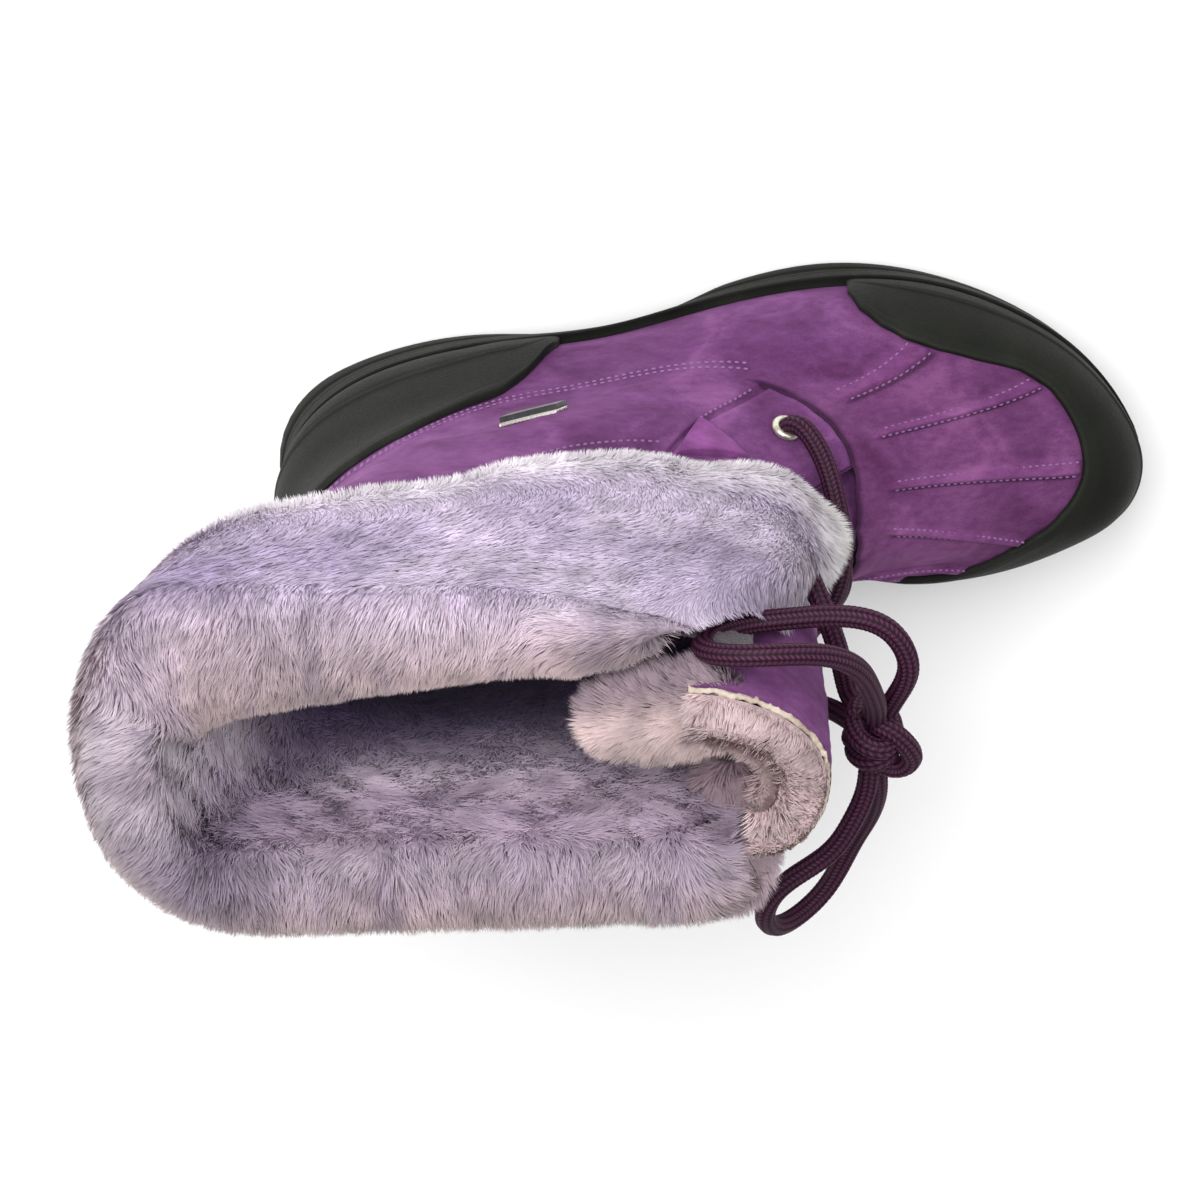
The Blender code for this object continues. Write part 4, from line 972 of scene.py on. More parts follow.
beads = []
for at, _, _ in VAMP_SEAMS:
    for aside, out in PINTUCK_ROWS:
        row = np.linspace(0.2, 0.5, 160)
        theta, level = on_upper(np.full(len(row), at + aside), row)
        past = ((level > table(TOE_CAP_EDGE, theta) + 0.005)
                & (level < table(ARCH_LINE, theta) - PLAIN_BAND - 0.008))
        beads += stitches(np.stack([theta[past], level[past]], -1), out)
for aside in (0.0, 2.6):
    beads += stitches(sewn_line(COUNTER_ROWS), SEWN_IN, aside)
    beads += stitches(sewn_line([(360 - a, b) for a, b in COUNTER_ROWS[::-1]]), SEWN_IN, aside)
beads += stitches(sewn_line(COLLAR_ROWS), SEWN_IN)
beads += stitches(sewn_line(TAB_SEAM), 0.1)
# Twisted polyester thread: a little shiny, with the plies' fine wave along it.
polyester_thread, shader = new_finish("lilac_polyester_thread", Specular_IOR_Level=0.4)
place = add_node(polyester_thread, "TexCoord")
twist = add_node(polyester_thread, "TexWave", {"Vector": place.outputs["Object"],
                                               "Scale": 900.0, "Distortion": 2.0})
follow_grain(polyester_thread, shader, twist.outputs["Fac"],
             ((0.2, "#6f4678"), (0.8, "#9a70a0")), (0.4, 0.0002), (0.5, 0.75))
make("stitching", beads, polyester_thread)

# ================================================================ badge
# A blank trim plate on the outer side: a bright nickel base under a dark enamelled bar,
# pressed through the suede on two prongs. It carries no mark.
BADGE_TURNS, BADGE_TALL = (75.6, 83.0), 0.0145
BADGE_MIDDLE, BADGE_SLOPE = (79.3, 0.533), 0.0072
PLATE_TOP, BAND_TOP = 1.3, 2.9
theta = (BADGE_TURNS[0] + (BADGE_TURNS[1] - BADGE_TURNS[0])
         * shoulder([0, .012, .03, .06], 14))[:, None]


def badge_strip(low, high, top):
    """A flat bar along the badge, between two shares of its height."""
    share = shoulder([0, .04, .10, .18], 6)[None, :] * (high - low) + low
    level = (BADGE_MIDDLE[1] - (theta - BADGE_MIDDLE[0]) * BADGE_SLOPE
             + BADGE_TALL * (2 * share - 1))
    return overlay(np.broadcast_to(theta, level.shape), level, np.full(level.shape, top), 0.0,
                   0.25)


plate = badge_strip(0.0, 1.0, PLATE_TOP)
# Polished nickel plate: a bright, warm mirror with faint polishing lines.
polished_nickel, shader = new_finish("polished_nickel_plate", Metallic=1.0)
place = add_node(polished_nickel, "TexCoord")
brush = add_node(polished_nickel, "Mapping", {"Vector": place.outputs["Object"],
                                              "Scale": (200.0, 2600.0, 2600.0)})
lines = add_node(polished_nickel, "TexNoise", {"Vector": brush.outputs["Vector"],
                                               "Scale": 1.0, "Detail": 3.0})
follow_grain(polished_nickel, shader, lines.outputs["Fac"],
             ((0.3, "#e6e2d8"), (0.7, "#f4f1e8")), (0.05, 0.0001), (0.18, 0.36))
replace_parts(make("badge_plate", [grid(plate)], polished_nickel), "badge")

inlay = badge_strip(0.02, 0.98, BAND_TOP)
# Baked enamel: a smooth black gloss, slightly hazed by wear.
black_enamel, shader = new_finish("black_baked_enamel", Coat_Weight=0.5, Coat_Roughness=0.12,
                                  IOR=1.5)
place = add_node(black_enamel, "TexCoord")
haze = add_node(black_enamel, "TexNoise", {"Vector": place.outputs["Object"], "Scale": 500.0,
                                           "Detail": 3.0})
follow_grain(black_enamel, shader, haze.outputs["Fac"], ((0.3, "#1c191d"), (0.7, "#332e35")),
             (0.1, 0.0001), (0.22, 0.4))
make("badge_band", [grid(inlay)], black_enamel)

# ================================================================ collar tab
# The loose corner of the collar's facing: a triangle of brighter, smoother suede that
# stands out under the cuff, turned over at its edges.
TAB_CORNERS = np.array([(118.5, 0.645), (112.8, 0.545), (133.5, 0.612)])
TAB, TAB_LIFT = 1.0, 1.9
share = (0.004 + 0.996 * shoulder([0, .01, .03, .06], 24))[:, None, None]
slide = shoulder([0, .01, .03, .06], 24)[None, :, None]
far = TAB_CORNERS[0] * (1 - slide) + TAB_CORNERS[2] * slide
place_on = TAB_CORNERS[1] * (1 - share) + far * share
theta, level = place_on[..., 0], place_on[..., 1]
lift = TAB_LIFT * smooth(share[..., 0]) * np.sin(np.pi * slide[..., 0])
points = overlay(theta, level, OVERLAY_GAP + TAB + lift, OVERLAY_GAP - 0.4, 0.6)
tone = 1.0 + 0.10 * ripple(points, 9, 41)
# Split suede: the hide's brushed inner layer, brighter than the upper's.
magenta_suede = suede_finish("magenta_split_suede", "#562859", "#6c376e", "#824a83")
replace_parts(make("collar_tab_suede", [grid(points)], magenta_suede, tone.reshape(-1, 1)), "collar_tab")

# ================================================================ tongue
# A bellows tongue of shearling: plum suede outside, fleece inside, cut by hand, so that the
# pale thickness of the skin shows all along its top.
TONGUE_COLUMNS = ("share", "front_x", "middle_y", "z", "half_outer", "half_inner",
                  "back_outer", "back_inner")
# The tongue's sections, from the vamp (0) to its top (1).
TONGUE_ROWS = (
    (0.00, 166, -8, 92, 15.5, 12, 12, 12),
    (0.30, 162, -9, 112, 15.5, 12, 17, 13),
    (0.45, 159.5, -11, 130, 17, 13.5, 22, 13),
    (0.60, 158, -14, 152, 19, 15, 27, 13),
    (0.80, 157, -18, 186, 23, 19, 33, 16),
    (1.00, 154, -21, 221, 25, 25, 37, 20),
)
TONGUE_LEVEL, TONGUE_LEVELS = 0.47, 0.40
TONGUE_SPREAD, TONGUE_TUCK, TONGUE_CROWN = 42, 16, 5
SUEDE, RAW_EDGE = 1.3, 1.7


def tongue_value(name, share):
    """One measure of the tongue at a share of its height."""
    rows = np.array(TONGUE_ROWS, float)
    return spline(share, rows[:, 0], rows[:, TONGUE_COLUMNS.index(name)])


def tongue_point(across, share, out=0.0):
    """Outer face of the tongue: across runs from the inner wing (-1) to the outer (1)."""
    across, share, out = np.broadcast_arrays(np.asarray(across, float),
                                             np.asarray(share, float), np.asarray(out, float))
    level = TONGUE_LEVEL + TONGUE_LEVELS * share
    tuck = np.clip(share / 0.2, 0, 1)
    inside = -(WALL + SUNK + OVERLAY_GAP + 0.4) - 2.5 * tuck * across**2
    based = upper_point(180 - across * (TONGUE_SPREAD - TONGUE_TUCK * tuck), level,
                        inside + out)
    turn = across * np.pi / 2
    half = np.where(across > 0, tongue_value("half_outer", share),
                    tongue_value("half_inner", share)) + out
    back_reach = np.where(across > 0, tongue_value("back_outer", share),
                          tongue_value("back_inner", share)) + out
    x = tongue_value("front_x", share) + out - back_reach * (1 - np.cos(turn))
    y = tongue_value("middle_y", share) + half * np.sin(turn)
    z = tongue_value("z", share) - TONGUE_CROWN * across**2
    leave = smooth((share - 0.13) / 0.30)[..., None]
    return based * (1 - leave) + np.stack([x, y, z], -1) * leave


across = np.linspace(-1, 1, 121)[None, :]
share = np.unique(np.concatenate([np.linspace(0, .96, 90), np.linspace(.96, 1, 14)]))[:, None]
face = tongue_point(across, share, 0.0)
face = tongue_point(across, share, 0.30 * ripple(face, 14, 51, 2) * (share < 0.97))
ragged = 0.5 * ripple(face[-1], 7, 52, 2) + 0.2 * ripple(face[-1], 2.2, 53)
face[-1, :, 2] += ragged - 0.6
face[-2, :, 2] += 0.5 * ragged - 0.3
tone = 1 - 0.10 * np.broadcast_to((share > 0.985), face.shape[:2]) + 0.05 * ripple(face, 20, 54)
sides = [grid(np.stack([face[:, k], tongue_point(wing, share, -SUEDE)[:, 0]]))
         for k, wing in ((0, -1), (-1, 1))]
tone = np.concatenate([tone.ravel(), np.full(sum(len(p[0]) for p in sides), 0.8)])
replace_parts(make("tongue_suede", [grid(face)] + sides, plum_suede, tone[:, None]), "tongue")

# The cut edge: raw skin between the suede and the wool, uneven and frayed.
edge_across = np.linspace(-1, 1, 361)[None, :]
flat = tongue_point(edge_across, 1.0)[0]
width = RAW_EDGE + 0.5 * ripple(flat, 9, 55, 2) + 0.25 * ripple(flat, 2.0, 56)
height = -0.2 + 0.5 * ripple(flat, 7, 52, 2) + 0.2 * ripple(flat, 2.2, 53)
rows = []
# Across the edge: how far inside the suede's face, as a share of its width, and how high.
for depth, rise in ((0.15, -3.0), (-0.05, -0.4), (-0.3, 0.2), (-0.55, 0.35), (-0.8, 0.1),
                    (-1.0, -0.6), (-1.1, -3.0)):
    ring = tongue_point(edge_across, 1.0, depth * width if depth < 0 else depth)[0]
    ring[:, 2] += rise + height
    rows.append(ring)
cut = np.stack(rows)
cut[1:-1] += 0.18 * ripple(cut[1:-1], 1.6, 57)[..., None]
# Raw tanned skin: chalky and dull, with torn fibres, drawn at 1.4 mm to show.
tanned_skin, shader = new_finish("raw_tanned_skin_edge", Roughness=0.9,
                                 Specular_IOR_Level=0.2, Sheen_Weight=0.15)
place = add_node(tanned_skin, "TexCoord")
fray = add_node(tanned_skin, "TexNoise", {"Vector": place.outputs["Object"], "Scale": 700.0,
                                          "Detail": 5.0, "Roughness": 0.7})
stain = add_node(tanned_skin, "TexNoise", {"Vector": place.outputs["Object"], "Scale": 110.0,
                                           "Detail": 3.0})
mixed = add_node(tanned_skin, "Math", {0: fray.outputs["Fac"], 1: 0.5, 2:
                                       stain.outputs["Fac"]}, operation="MULTIPLY_ADD")
colour = add_node(tanned_skin, "ValToRGB", {"Fac": mixed.outputs["Value"]},
                  stops=((0.5, "#8d7b70"), (0.72, "#bfb0a0"), (0.95, "#dccfbf")))
bump = add_node(tanned_skin, "Bump", {"Height": fray.outputs["Fac"], "Strength": 0.9,
                                      "Distance": 0.0006})
feed(shader, Base_Color=colour.outputs["Color"], Normal=bump.outputs["Normal"])
make("tongue_cut_edge", [grid(cut)], tanned_skin)

LOCK_WIDTH, LOCK_BEND = 1.25, 0.45


def lay(field, a, b):
    """A field on a grid read at fractional rows a and columns b."""
    i = np.clip(a.astype(int), 0, field.shape[0] - 2)
    j = np.clip(b.astype(int), 0, field.shape[1] - 2)
    s, t = a - i, b - j
    if field.ndim > 2:
        s, t = s[:, None], t[:, None]
    return ((field[i, j] * (1 - t) + field[i, j + 1] * t) * (1 - s)
            + (field[i + 1, j] * (1 - t) + field[i + 1, j + 1] * t) * s)


def pile(name, skin, tips, coat, count, seed):
    """Wool over a grid: tapered locks of hair combed along coat["flow"].

    skin and tips are the grid at the hide and at the pile's face. coat holds grids: flow
    (direction), sway and wave (its fine and broad scatter), tilt (angle off the normal),
    length, core (where hairs leave, as a share of the pile), density, skyward (how far the
    locks turn their faces up) and the colours low, mid and high from root to tip. It also
    holds the size of a bunch of locks (bunch), how much a bunch's tips draw together (pull)
    and a lock's width (thick).
    """
    source = np.random.default_rng(seed)
    middle = skin + (tips - skin) * coat["core"][..., None]
    outwards = unit(tips - skin)
    normal = np.cross(np.gradient(middle, axis=0), np.gradient(middle, axis=1))
    normal *= np.sign(np.sum(normal * outwards))
    normal = unit(unit(normal) + 0.2 * outwards)
    area = np.linalg.norm(np.cross(middle[1:, :-1] - middle[:-1, :-1],
                                   middle[:-1, 1:] - middle[:-1, :-1]), axis=-1)
    chance = (area * coat["density"][:-1, :-1]).ravel()
    cell = source.choice(len(chance), count, p=chance / chance.sum())
    a, b = np.divmod(cell, area.shape[1])
    a = a + source.random(count)
    b = b + source.random(count)
    # Locks: hairs lean together in bunches of a few millimetres.
    down = np.concatenate([[0], np.cumsum(np.linalg.norm(np.diff(middle, axis=0),
                                                         axis=-1).mean(1))])
    over = np.concatenate([[0], np.cumsum(np.linalg.norm(np.diff(middle, axis=1),
                                                         axis=-1).mean(0))])
    x = np.interp(a, np.arange(len(down)), down)
    y = np.interp(b, np.arange(len(over)), over)
    bunch_x = np.floor(x / coat["bunch"][0])
    bunch_y = np.floor(y / coat["bunch"][1] + 0.5 * (bunch_x % 2))
    key = np.abs(np.sin(bunch_x * 12.9898 + bunch_y * 78.233 + seed) * 43758.5453)
    jitter = key[:, None] * (1, 7.13, 3.71, 5.37) % 1
    centre_a = np.interp((bunch_x + 0.2 + 0.6 * jitter[:, 0]) * coat["bunch"][0], down,
                         np.arange(len(down)))
    centre_b = np.interp((bunch_y - 0.5 * (bunch_x % 2) + 0.2 + 0.6 * jitter[:, 1])
                         * coat["bunch"][1], over, np.arange(len(over)))

    def lock(a, b, swing, grow):
        """Root, normal, bend, tip and side of locks that stand at rows a and columns b."""
        up_there = unit(lay(normal, a, b))
        root = lay(skin, a, b) + (lay(tips, a, b) - lay(skin, a, b)) * lay(
            coat["core"], a, b)[:, None]
        flow = lay(coat["flow"], a, b)
        flow = unit(flow - up_there * np.sum(flow * up_there, -1)[:, None])
        side = np.cross(up_there, flow)
        swing = swing + lay(coat["wave"], a, b) * (ripple(root, 30, 71)
                                                   + 0.7 * ripple(root, 11, 72))
        flow = flow * np.cos(swing)[:, None] + side * np.sin(swing)[:, None]
        tilt = lay(coat["tilt"], a, b)
        reach = lay(coat["length"], a, b) * grow
        first = up_there * np.cos(tilt * 0.8)[:, None] + flow * np.sin(tilt * 0.8)[:, None]
        later = up_there * np.cos(tilt * 1.1)[:, None] + flow * np.sin(tilt * 1.1)[:, None]
        bend = root + first * (LOCK_BEND * reach)[:, None]
        return root, up_there, bend, bend + later * ((1 - LOCK_BEND) * reach)[:, None], side

    sway = lay(coat["sway"], a, b)
    swing = (jitter[:, 2] - 0.5) * 1.2 * sway
    grow = 0.93 + 0.14 * jitter[:, 3]
    root, up_there, bend, tip, side = lock(a, b, swing + source.normal(0, 1, count) * sway,
                                           grow * source.uniform(0.84, 1.10, count))
    _, _, bunch_bend, bunch_tip, _ = lock(centre_a, centre_b, swing, grow * 1.03)
    pull = source.uniform(0.0, coat["pull"], count)[:, None]
    tip = tip * (1 - pull) + bunch_tip * pull
    bend = bend * (1 - LOCK_BEND * pull) + bunch_bend * LOCK_BEND * pull
    # Each lock is a leaf of two triangles: its root, the two sides of its bend, and its tip.
    run = unit(tip - root)
    lit = unit(up_there + lay(coat["skyward"], a, b)[:, None] * np.array((0, 0, 1)))
    wide = unit(np.cross(run, lit) + 0.35 * side + 0.25 * source.normal(size=(count, 3)))
    thick = LOCK_WIDTH * coat["thick"] * source.uniform(0.7, 1.25, count)[:, None]
    vertices = np.stack([root, bend - wide * thick / 2, bend + wide * thick / 2, tip], 1)
    base = np.arange(count)[:, None] * 4
    faces = base + np.array([0, 2, 1, 1, 2, 3])
    bright = (source.normal(0.93, 0.06, count) + 0.14 * (jitter[:, 3] - 0.5)
              + 0.10 * ripple(root, 9, 73) + 0.09 * ripple(root, 30, 74))[:, None]
    colours = np.stack([lay(coat[part], a, b) for part in ("low", "mid", "mid", "high")],
                       1) * bright[:, None]
    # The normals lean towards the pile's own, so that the flat locks shade as soft wool.
    facing = unit(np.cross(wide, run))
    facing *= np.sign(np.sum(facing * lit, -1))[:, None]
    shading = np.repeat(unit(lit + facing * 0.14 + run * 0.30), 4, 0)
    make(name, [(vertices.reshape(-1, 3), faces)], dyed_wool,
         np.clip(colours, 0, 1).reshape(-1, 3), shading=shading,
         sizes=np.full(2 * count, 3))


def along_grid(field, axis):
    """Unit direction of a grid's rows or columns at each point."""
    return unit(np.gradient(field, axis=axis))


def wash(shape, *layers):
    """A colour grid: a first hex colour, then (weight grid, hex colour) laid over it."""
    colour = np.broadcast_to(hue(layers[0]), (*shape, 3)).copy()
    for weight, code in layers[1:]:
        weight = np.clip(np.broadcast_to(weight, shape), 0, 1)[..., None]
        colour = colour * (1 - weight) + hue(code) * weight
    return colour


# Dyed sheep's wool: soft and matt, dark between the locks and frosted at their tips.
dyed_wool, shader = new_finish("dyed_sheep_wool", Specular_IOR_Level=0.2, Sheen_Weight=0.2,
                               Sheen_Roughness=0.5)
tint = add_node(dyed_wool, "Attribute", attribute_name="tint")
place = add_node(dyed_wool, "TexCoord")
mottle = add_node(dyed_wool, "TexNoise", {"Vector": place.outputs["Object"], "Scale": 260.0,
                                          "Detail": 3.0})
shift = add_node(dyed_wool, "MapRange", {"Value": mottle.outputs["Fac"], "To Min": 0.86,
                                         "To Max": 1.14})
mixed = add_node(dyed_wool, "Mix", {"Factor": 1.0, 6: tint.outputs["Color"],
                                    7: shift.outputs["Result"]},
                 data_type="RGBA", blend_type="MULTIPLY")
rough = add_node(dyed_wool, "MapRange", {"Value": mottle.outputs["Fac"], "To Min": 0.65,
                                         "To Max": 0.85})
bump = add_node(dyed_wool, "Bump", {"Height": mottle.outputs["Fac"], "Strength": 0.1,
                                    "Distance": 0.0003})
feed(shader, Base_Color=mixed.outputs[2], Roughness=rough.outputs["Result"],
     Normal=bump.outputs["Normal"])

# The fleece lines the tongue from a little above the vamp to its top.
across = np.linspace(-1, 1, 161)[None, :]
share = np.linspace(0.22, 1.0, 80)[:, None]
depth = 8.0 + 6.0 * smooth((share - 0.45) / 0.35)
skin = tongue_point(across, share, -1.2)
tips = tongue_point(across, share, -depth - 1.2)
# The wool closes over the top in a roll, from the fleece's face to the cut edge.
ROLL_END, ROLL_STEPS = 165, 26
inwards = unit(tips[-1] - skin[-1])
turns = np.radians(np.linspace(0, ROLL_END, ROLL_STEPS)[1:])[:, None, None]
roll_skin = skin[-1] + inwards * 6.0 * (0.5 + 0.5 * np.cos(turns)) - (0, 0, 2.5)
roll_tips = skin[-1] + inwards * 14.0 * (0.5 + 0.5 * np.cos(turns)) + np.sin(
    turns) * np.array((0, 0, 4.5))
skin, tips = np.concatenate([skin, roll_skin]), np.concatenate([tips, roll_tips])
share = np.concatenate([share, 1 + np.linspace(0, 1, ROLL_STEPS)[1:, None]])
core = skin + (tips - skin) * 0.80
shape = core.shape[:2]
wings = np.broadcast_to(smooth((np.abs(across) - 0.85) / 0.15), shape)
# Painted light: the fleece is painted darker low in the tongue, in the opening's shade, and paler higher
# up, where the light falls.
lit = np.broadcast_to(smooth((share - 0.50) / 0.40), shape)
# It is combed up to the middle of the roll and down beyond it, and outwards at the wings.
coat = {
    "flow": (along_grid(core, 0) * np.where(share > 1.45, -1.0, 1.0)[..., None]
             + (wings * 1.3 * np.sign(across) + 0.35)[..., None] * along_grid(core, 1)),
    "tilt": np.broadcast_to(1.15 - 0.45 * smooth((share - 0.9) / 0.4)
                            + 0.25 * smooth((share - 1.4) / 0.3), shape),
    "sway": np.full(shape, 0.2), "wave": np.full(shape, 0.3),
    "length": np.broadcast_to(6.0 - 1.8 * smooth((share - 1.2) / 0.4), shape),
    "core": np.full(shape, 0.76), "skyward": np.zeros(shape),
    "density": 0.25 + 0.75 * smooth((share - 0.35) / 0.3) + 0 * across,
    "bunch": (3.4, 2.8), "pull": 0.5, "thick": 0.26,
    "low": wash(shape, "#634d55", (lit, "#9b8086")),
    "mid": wash(shape, "#876e76", (lit, "#c9aeb1")),
    "high": wash(shape, "#a58a91", (lit, "#e0cbcb")),
}
make("tongue_fleece_base", [grid(core[::2, ::2])], dyed_wool,
     (coat["mid"][::2, ::2] * 0.8).reshape(-1, 3))
pile("tongue_fleece", skin, tips, coat, 32000, 81)

PAD_BASE, PAD_RISE = 1.5, 7.0
place = np.linspace(0, 1, 60)[:, None]
across = np.linspace(-1, 1, 50)[None, :]


def fleece_pad(name, spine, broad, half, flow, length, weight, hues, count, seed):
    """A loose roll of fleece lying along a spine of points, half its width to each side.

    flow is the three parts of its direction. hues holds a pair for low, mid and high: the
    roll's own, and the one that weight lays over it.
    """
    half = half * np.sqrt(1 - 0.96 * place**6) * np.sqrt(1 - 0.96 * (1 - place)**8)
    arch = np.sqrt(np.clip(1 - across**2, 0, 1))
    middle = spine[:, None] + broad * (half * across * (1 + 0.55 * (across < 0)))[..., None]
    skin = middle - broad * 0.2 * (half * across)[..., None]
    rise = PAD_BASE + PAD_RISE * arch * np.sqrt(half / half.max())
    tips = middle + np.array((0, 0, 1)) * rise[..., None]
    core = skin + (tips - skin) * 0.85
    under = core * (1, 1, -1) + np.array((0, 0, 2.0)) * (middle[..., 2:] + PAD_BASE)
    shape = skin.shape[:2]
    low, mid, high = (wash(shape, own, (weight, over)) for own, over in hues)
    coat = {
        "flow": np.stack([part + np.zeros(shape) for part in flow], -1),
        "tilt": 1.1 - 0.3 * np.abs(across) * np.ones(shape),
        "sway": np.full(shape, 0.2), "wave": np.full(shape, 0.25),
        "length": length + np.zeros(shape), "core": np.full(shape, 0.8),
        "skyward": np.zeros(shape), "density": np.ones(shape), "bunch": (3.2, 2.6),
        "pull": 0.5, "thick": 0.26, "low": low, "mid": mid, "high": high,
    }
    make(name + "_base", [grid(core), grid(under)], dyed_wool,
         np.tile((mid * 0.85).reshape(-1, 3), (2, 1)))
    pile(name, skin, tips, coat, count, seed)


# The outer wing's fleece spreads back over the opening as a loose lip, painted darker grey as
# shade where it is tucked under the cuff; the inner wing's curls back along the other side.
fleece_pad(
    "tongue_lip",
    np.hstack([130 - 37 * place, -6.0 - 1.5 * place - 1.5 * np.sin(2.5 * place),
               206.5 + 0 * place]),
    np.array((0.0, -1.1, 0.0)), 8.5 - 2.0 * place, (-0.9, -across - 0.25, -0.1),
    6.5 + 2.0 * place**3, smooth((-across - 0.1) / 0.7),
    (("#8d7276", "#53434c"), ("#c6abac", "#7d6a75"), ("#e4cecc", "#b09ca6")), 11000, 82)
fleece_pad(
    "tongue_inner_wing",
    np.hstack([130 - 3.0 * np.sin(2.6 * place), -31.0 - 34.0 * place, 185 + 17 * place]),
    np.array((-1.0, 0.0, 0.0)), 9.0 - 1.0 * place, (-0.5 * across, -1.0, 0.1),
    6.5, smooth((place - 0.25) / 0.5),
    (("#6e5864", "#8a7480"), ("#8f7782", "#ac949f"), ("#b39da5", "#cfbac2")), 9000, 83)

# ================================================================ eyelets
# Rolled nickel-plated brass, pressed through strip and shaft; the barrel's inside is painted dark as
# shade.
EYELETS = {"eyelet_outer_low": (129.0, 0.5225), "eyelet_outer_high": (145.0, 0.685),
           "eyelet_inner_low": (231.0, 0.5225), "eyelet_inner_high": (215.0, 0.685)}
EYELET_LIFT, BARREL, BARREL_SHADE = 0.9, 2.3, 0.05
# Section from the middle of the hole outwards: radius and height over the strip.
EYELET_SECTION = ((0.0, -1.2), (2.0, -1.2), (2.2, -0.4), (2.25, 0.5), (2.5, 1.05), (2.95, 1.4),
                  (3.5, 1.45), (4.05, 1.2), (4.45, 0.7), (4.6, 0.1), (4.5, -0.3))


def frame_at(theta, level, out):
    """Place and axes of a small piece lying on the upper: along, up and outwards."""
    normal = upper_normal(np.float64(theta), np.float64(level))
    ahead = unit(upper_surface(theta + 0.5, level) - upper_surface(theta - 0.5, level))
    return upper_point(theta, level, out), ahead, np.cross(normal, ahead), normal


# Nickel-plated brass: a bright warm metal, dulled by tarnish in patches of 1.7 mm.
plated_brass, shader = new_finish("nickel_plated_brass", Metallic=0.85)
place = add_node(plated_brass, "TexCoord")
tarnish = add_node(plated_brass, "TexNoise", {"Vector": place.outputs["Object"],
                                              "Scale": 600.0, "Detail": 4.0})
colour = follow_grain(plated_brass, shader, tarnish.outputs["Fac"],
                      ((0.30, "#b9b49f"), (0.55, "#dcd8c6"), (0.75, "#f1eee2")),
                      (0.15, 0.0001), (0.22, 0.45))
tint = add_node(plated_brass, "Attribute", attribute_name="tint")
shaded = add_node(plated_brass, "Mix", {"Factor": 1.0, 6: colour, 7: tint.outputs["Color"]},
                  data_type="RGBA", blend_type="MULTIPLY")
feed(shader, Base_Color=shaded.outputs[2])
turn = np.linspace(0, 2 * np.pi, 40, endpoint=False)
section = np.array(EYELET_SECTION)
for name, (theta, level) in EYELETS.items():
    here, ahead, upwards, normal = frame_at(theta, level,
                                            EYESTAY + OVERLAY_GAP - SUNK + EYELET_LIFT)
    ring = (here + section[:, None, :1] * (np.cos(turn)[None, :, None] * ahead
                                           + np.sin(turn)[None, :, None] * upwards)
            + section[:, None, 1:] * normal)
    # Painted shade: the barrel's inside is painted nearly black, as the shade in the hole.
    tone = np.repeat(np.where(section[:, 0] < BARREL, BARREL_SHADE, 1.0), len(turn))
    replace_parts(make(f"{name}_ring", [grid(ring, wrap=True)], plated_brass, tone[:, None]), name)

# ================================================================ lace between the eyelets
# The same braided cord, out of one eyelet and over the throat into the next; the two ends
# leave the top eyelets for the knot.
INTO_KNOT = 0.45                # where an end stops, as a share of the way out of the knot
# Each strand as (angle, level, height over the upper).
CROSSINGS = (
    ((129, 0.5225, -0.4), (129.6, 0.5235, 2.4), (132, 0.531, 5.0), (140, 0.555, 6.2),
     (153, 0.592, 6.4), (167, 0.625, 7.4), (183, 0.650, 8.8), (200, 0.670, 8.0),
     (211, 0.6815, 6.0), (214.4, 0.6845, 2.6), (215, 0.685, -0.4)),
    ((231, 0.5225, -0.4), (230.4, 0.5235, 2.4), (228, 0.531, 5.0), (220, 0.555, 6.2),
     (207, 0.592, 6.4), (193, 0.620, 7.0), (178, 0.645, 7.6), (161, 0.668, 7.6),
     (149, 0.6815, 6.0), (145.6, 0.6845, 2.6), (145, 0.685, -0.4)),
    ((145, 0.685, -0.4), (145.4, 0.691, 2.6), (146.6, 0.705, 5.4), (149, 0.73, 6.0),
     (154, 0.772, 6.4), (161, 0.808, 8.6), (168, 0.832, 10.0), (176, 0.838, 11.5),
     (185, 0.832, 14.5), (190, 0.830, 17.5)),
    ((215, 0.685, -0.4), (214.6, 0.690, 2.6), (213.6, 0.701, 5.4), (212, 0.72, 6.0),
     (208, 0.755, 6.4), (203, 0.785, 8.0), (199, 0.808, 11.0), (196, 0.825, 14.5)),
)
# The last two strands run on into the knot.
routes = [[upper_point(*point) for point in points] for points in CROSSINGS]
for route in routes[2:]:
    beside = knot_side(route[-1])
    route += [beside, KNOT + (beside - KNOT) * INTO_KNOT]
strands, _ = laced("lace_strands", routes)
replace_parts(strands, "lace_crossings")

# ================================================================ cuff
# The shaft's shearling, turned down over the outside: hide against hide, with 12 mm of
# dyed wool outside, over the rolled rim and down inside the opening.
FUR, INNER_FUR, INNER_LEG, LINING_END = 12.0, 9.0, 0.79, 0.50
SKIN_GAP, LAPEL_LIFT, RIM_HEIGHT, HIDE = 1.4, 10.0, 0.92, 1.0
CUFF_COLUMNS = 301
ROWS_OUTSIDE, ROWS_OVER, ROWS_INSIDE, ROWS_BELOW = 46, 31, 36, 27
BULGE = 17
TILT, LOCK_LENGTH, ROOT_DEPTH, SKYWARD = 1.26, 6.2, 0.4, 1.6
CUFF_EDGE = ((0, .875), (55, .875), (72, .86), (91, .835), (110, .812), (120, .80),
             (132, .792), (146, .766), (157, .735), (168, .705), (192, .705), (203, .735),
             (214, .766), (228, .792), (240, .80), (250, .812), (269, .835), (305, .875),
             (360, .875))
LAPEL_OUTER = ((0.70, 171), (0.78, 170), (0.84, 165), (0.88, 160), (0.92, 153), (0.96, 144),
               (1.0, 133))
LAPEL_INNER = ((0.70, 152), (0.84, 151), (0.92, 147), (1.0, 143))
# The pile's depth up the outer leg, as a share of its full depth.
PILE = ((0.0, 0.6), (0.1, 1.05), (0.25, 1.12), (0.45, 1.14), (0.7, 1.05), (1.0, 1.0))


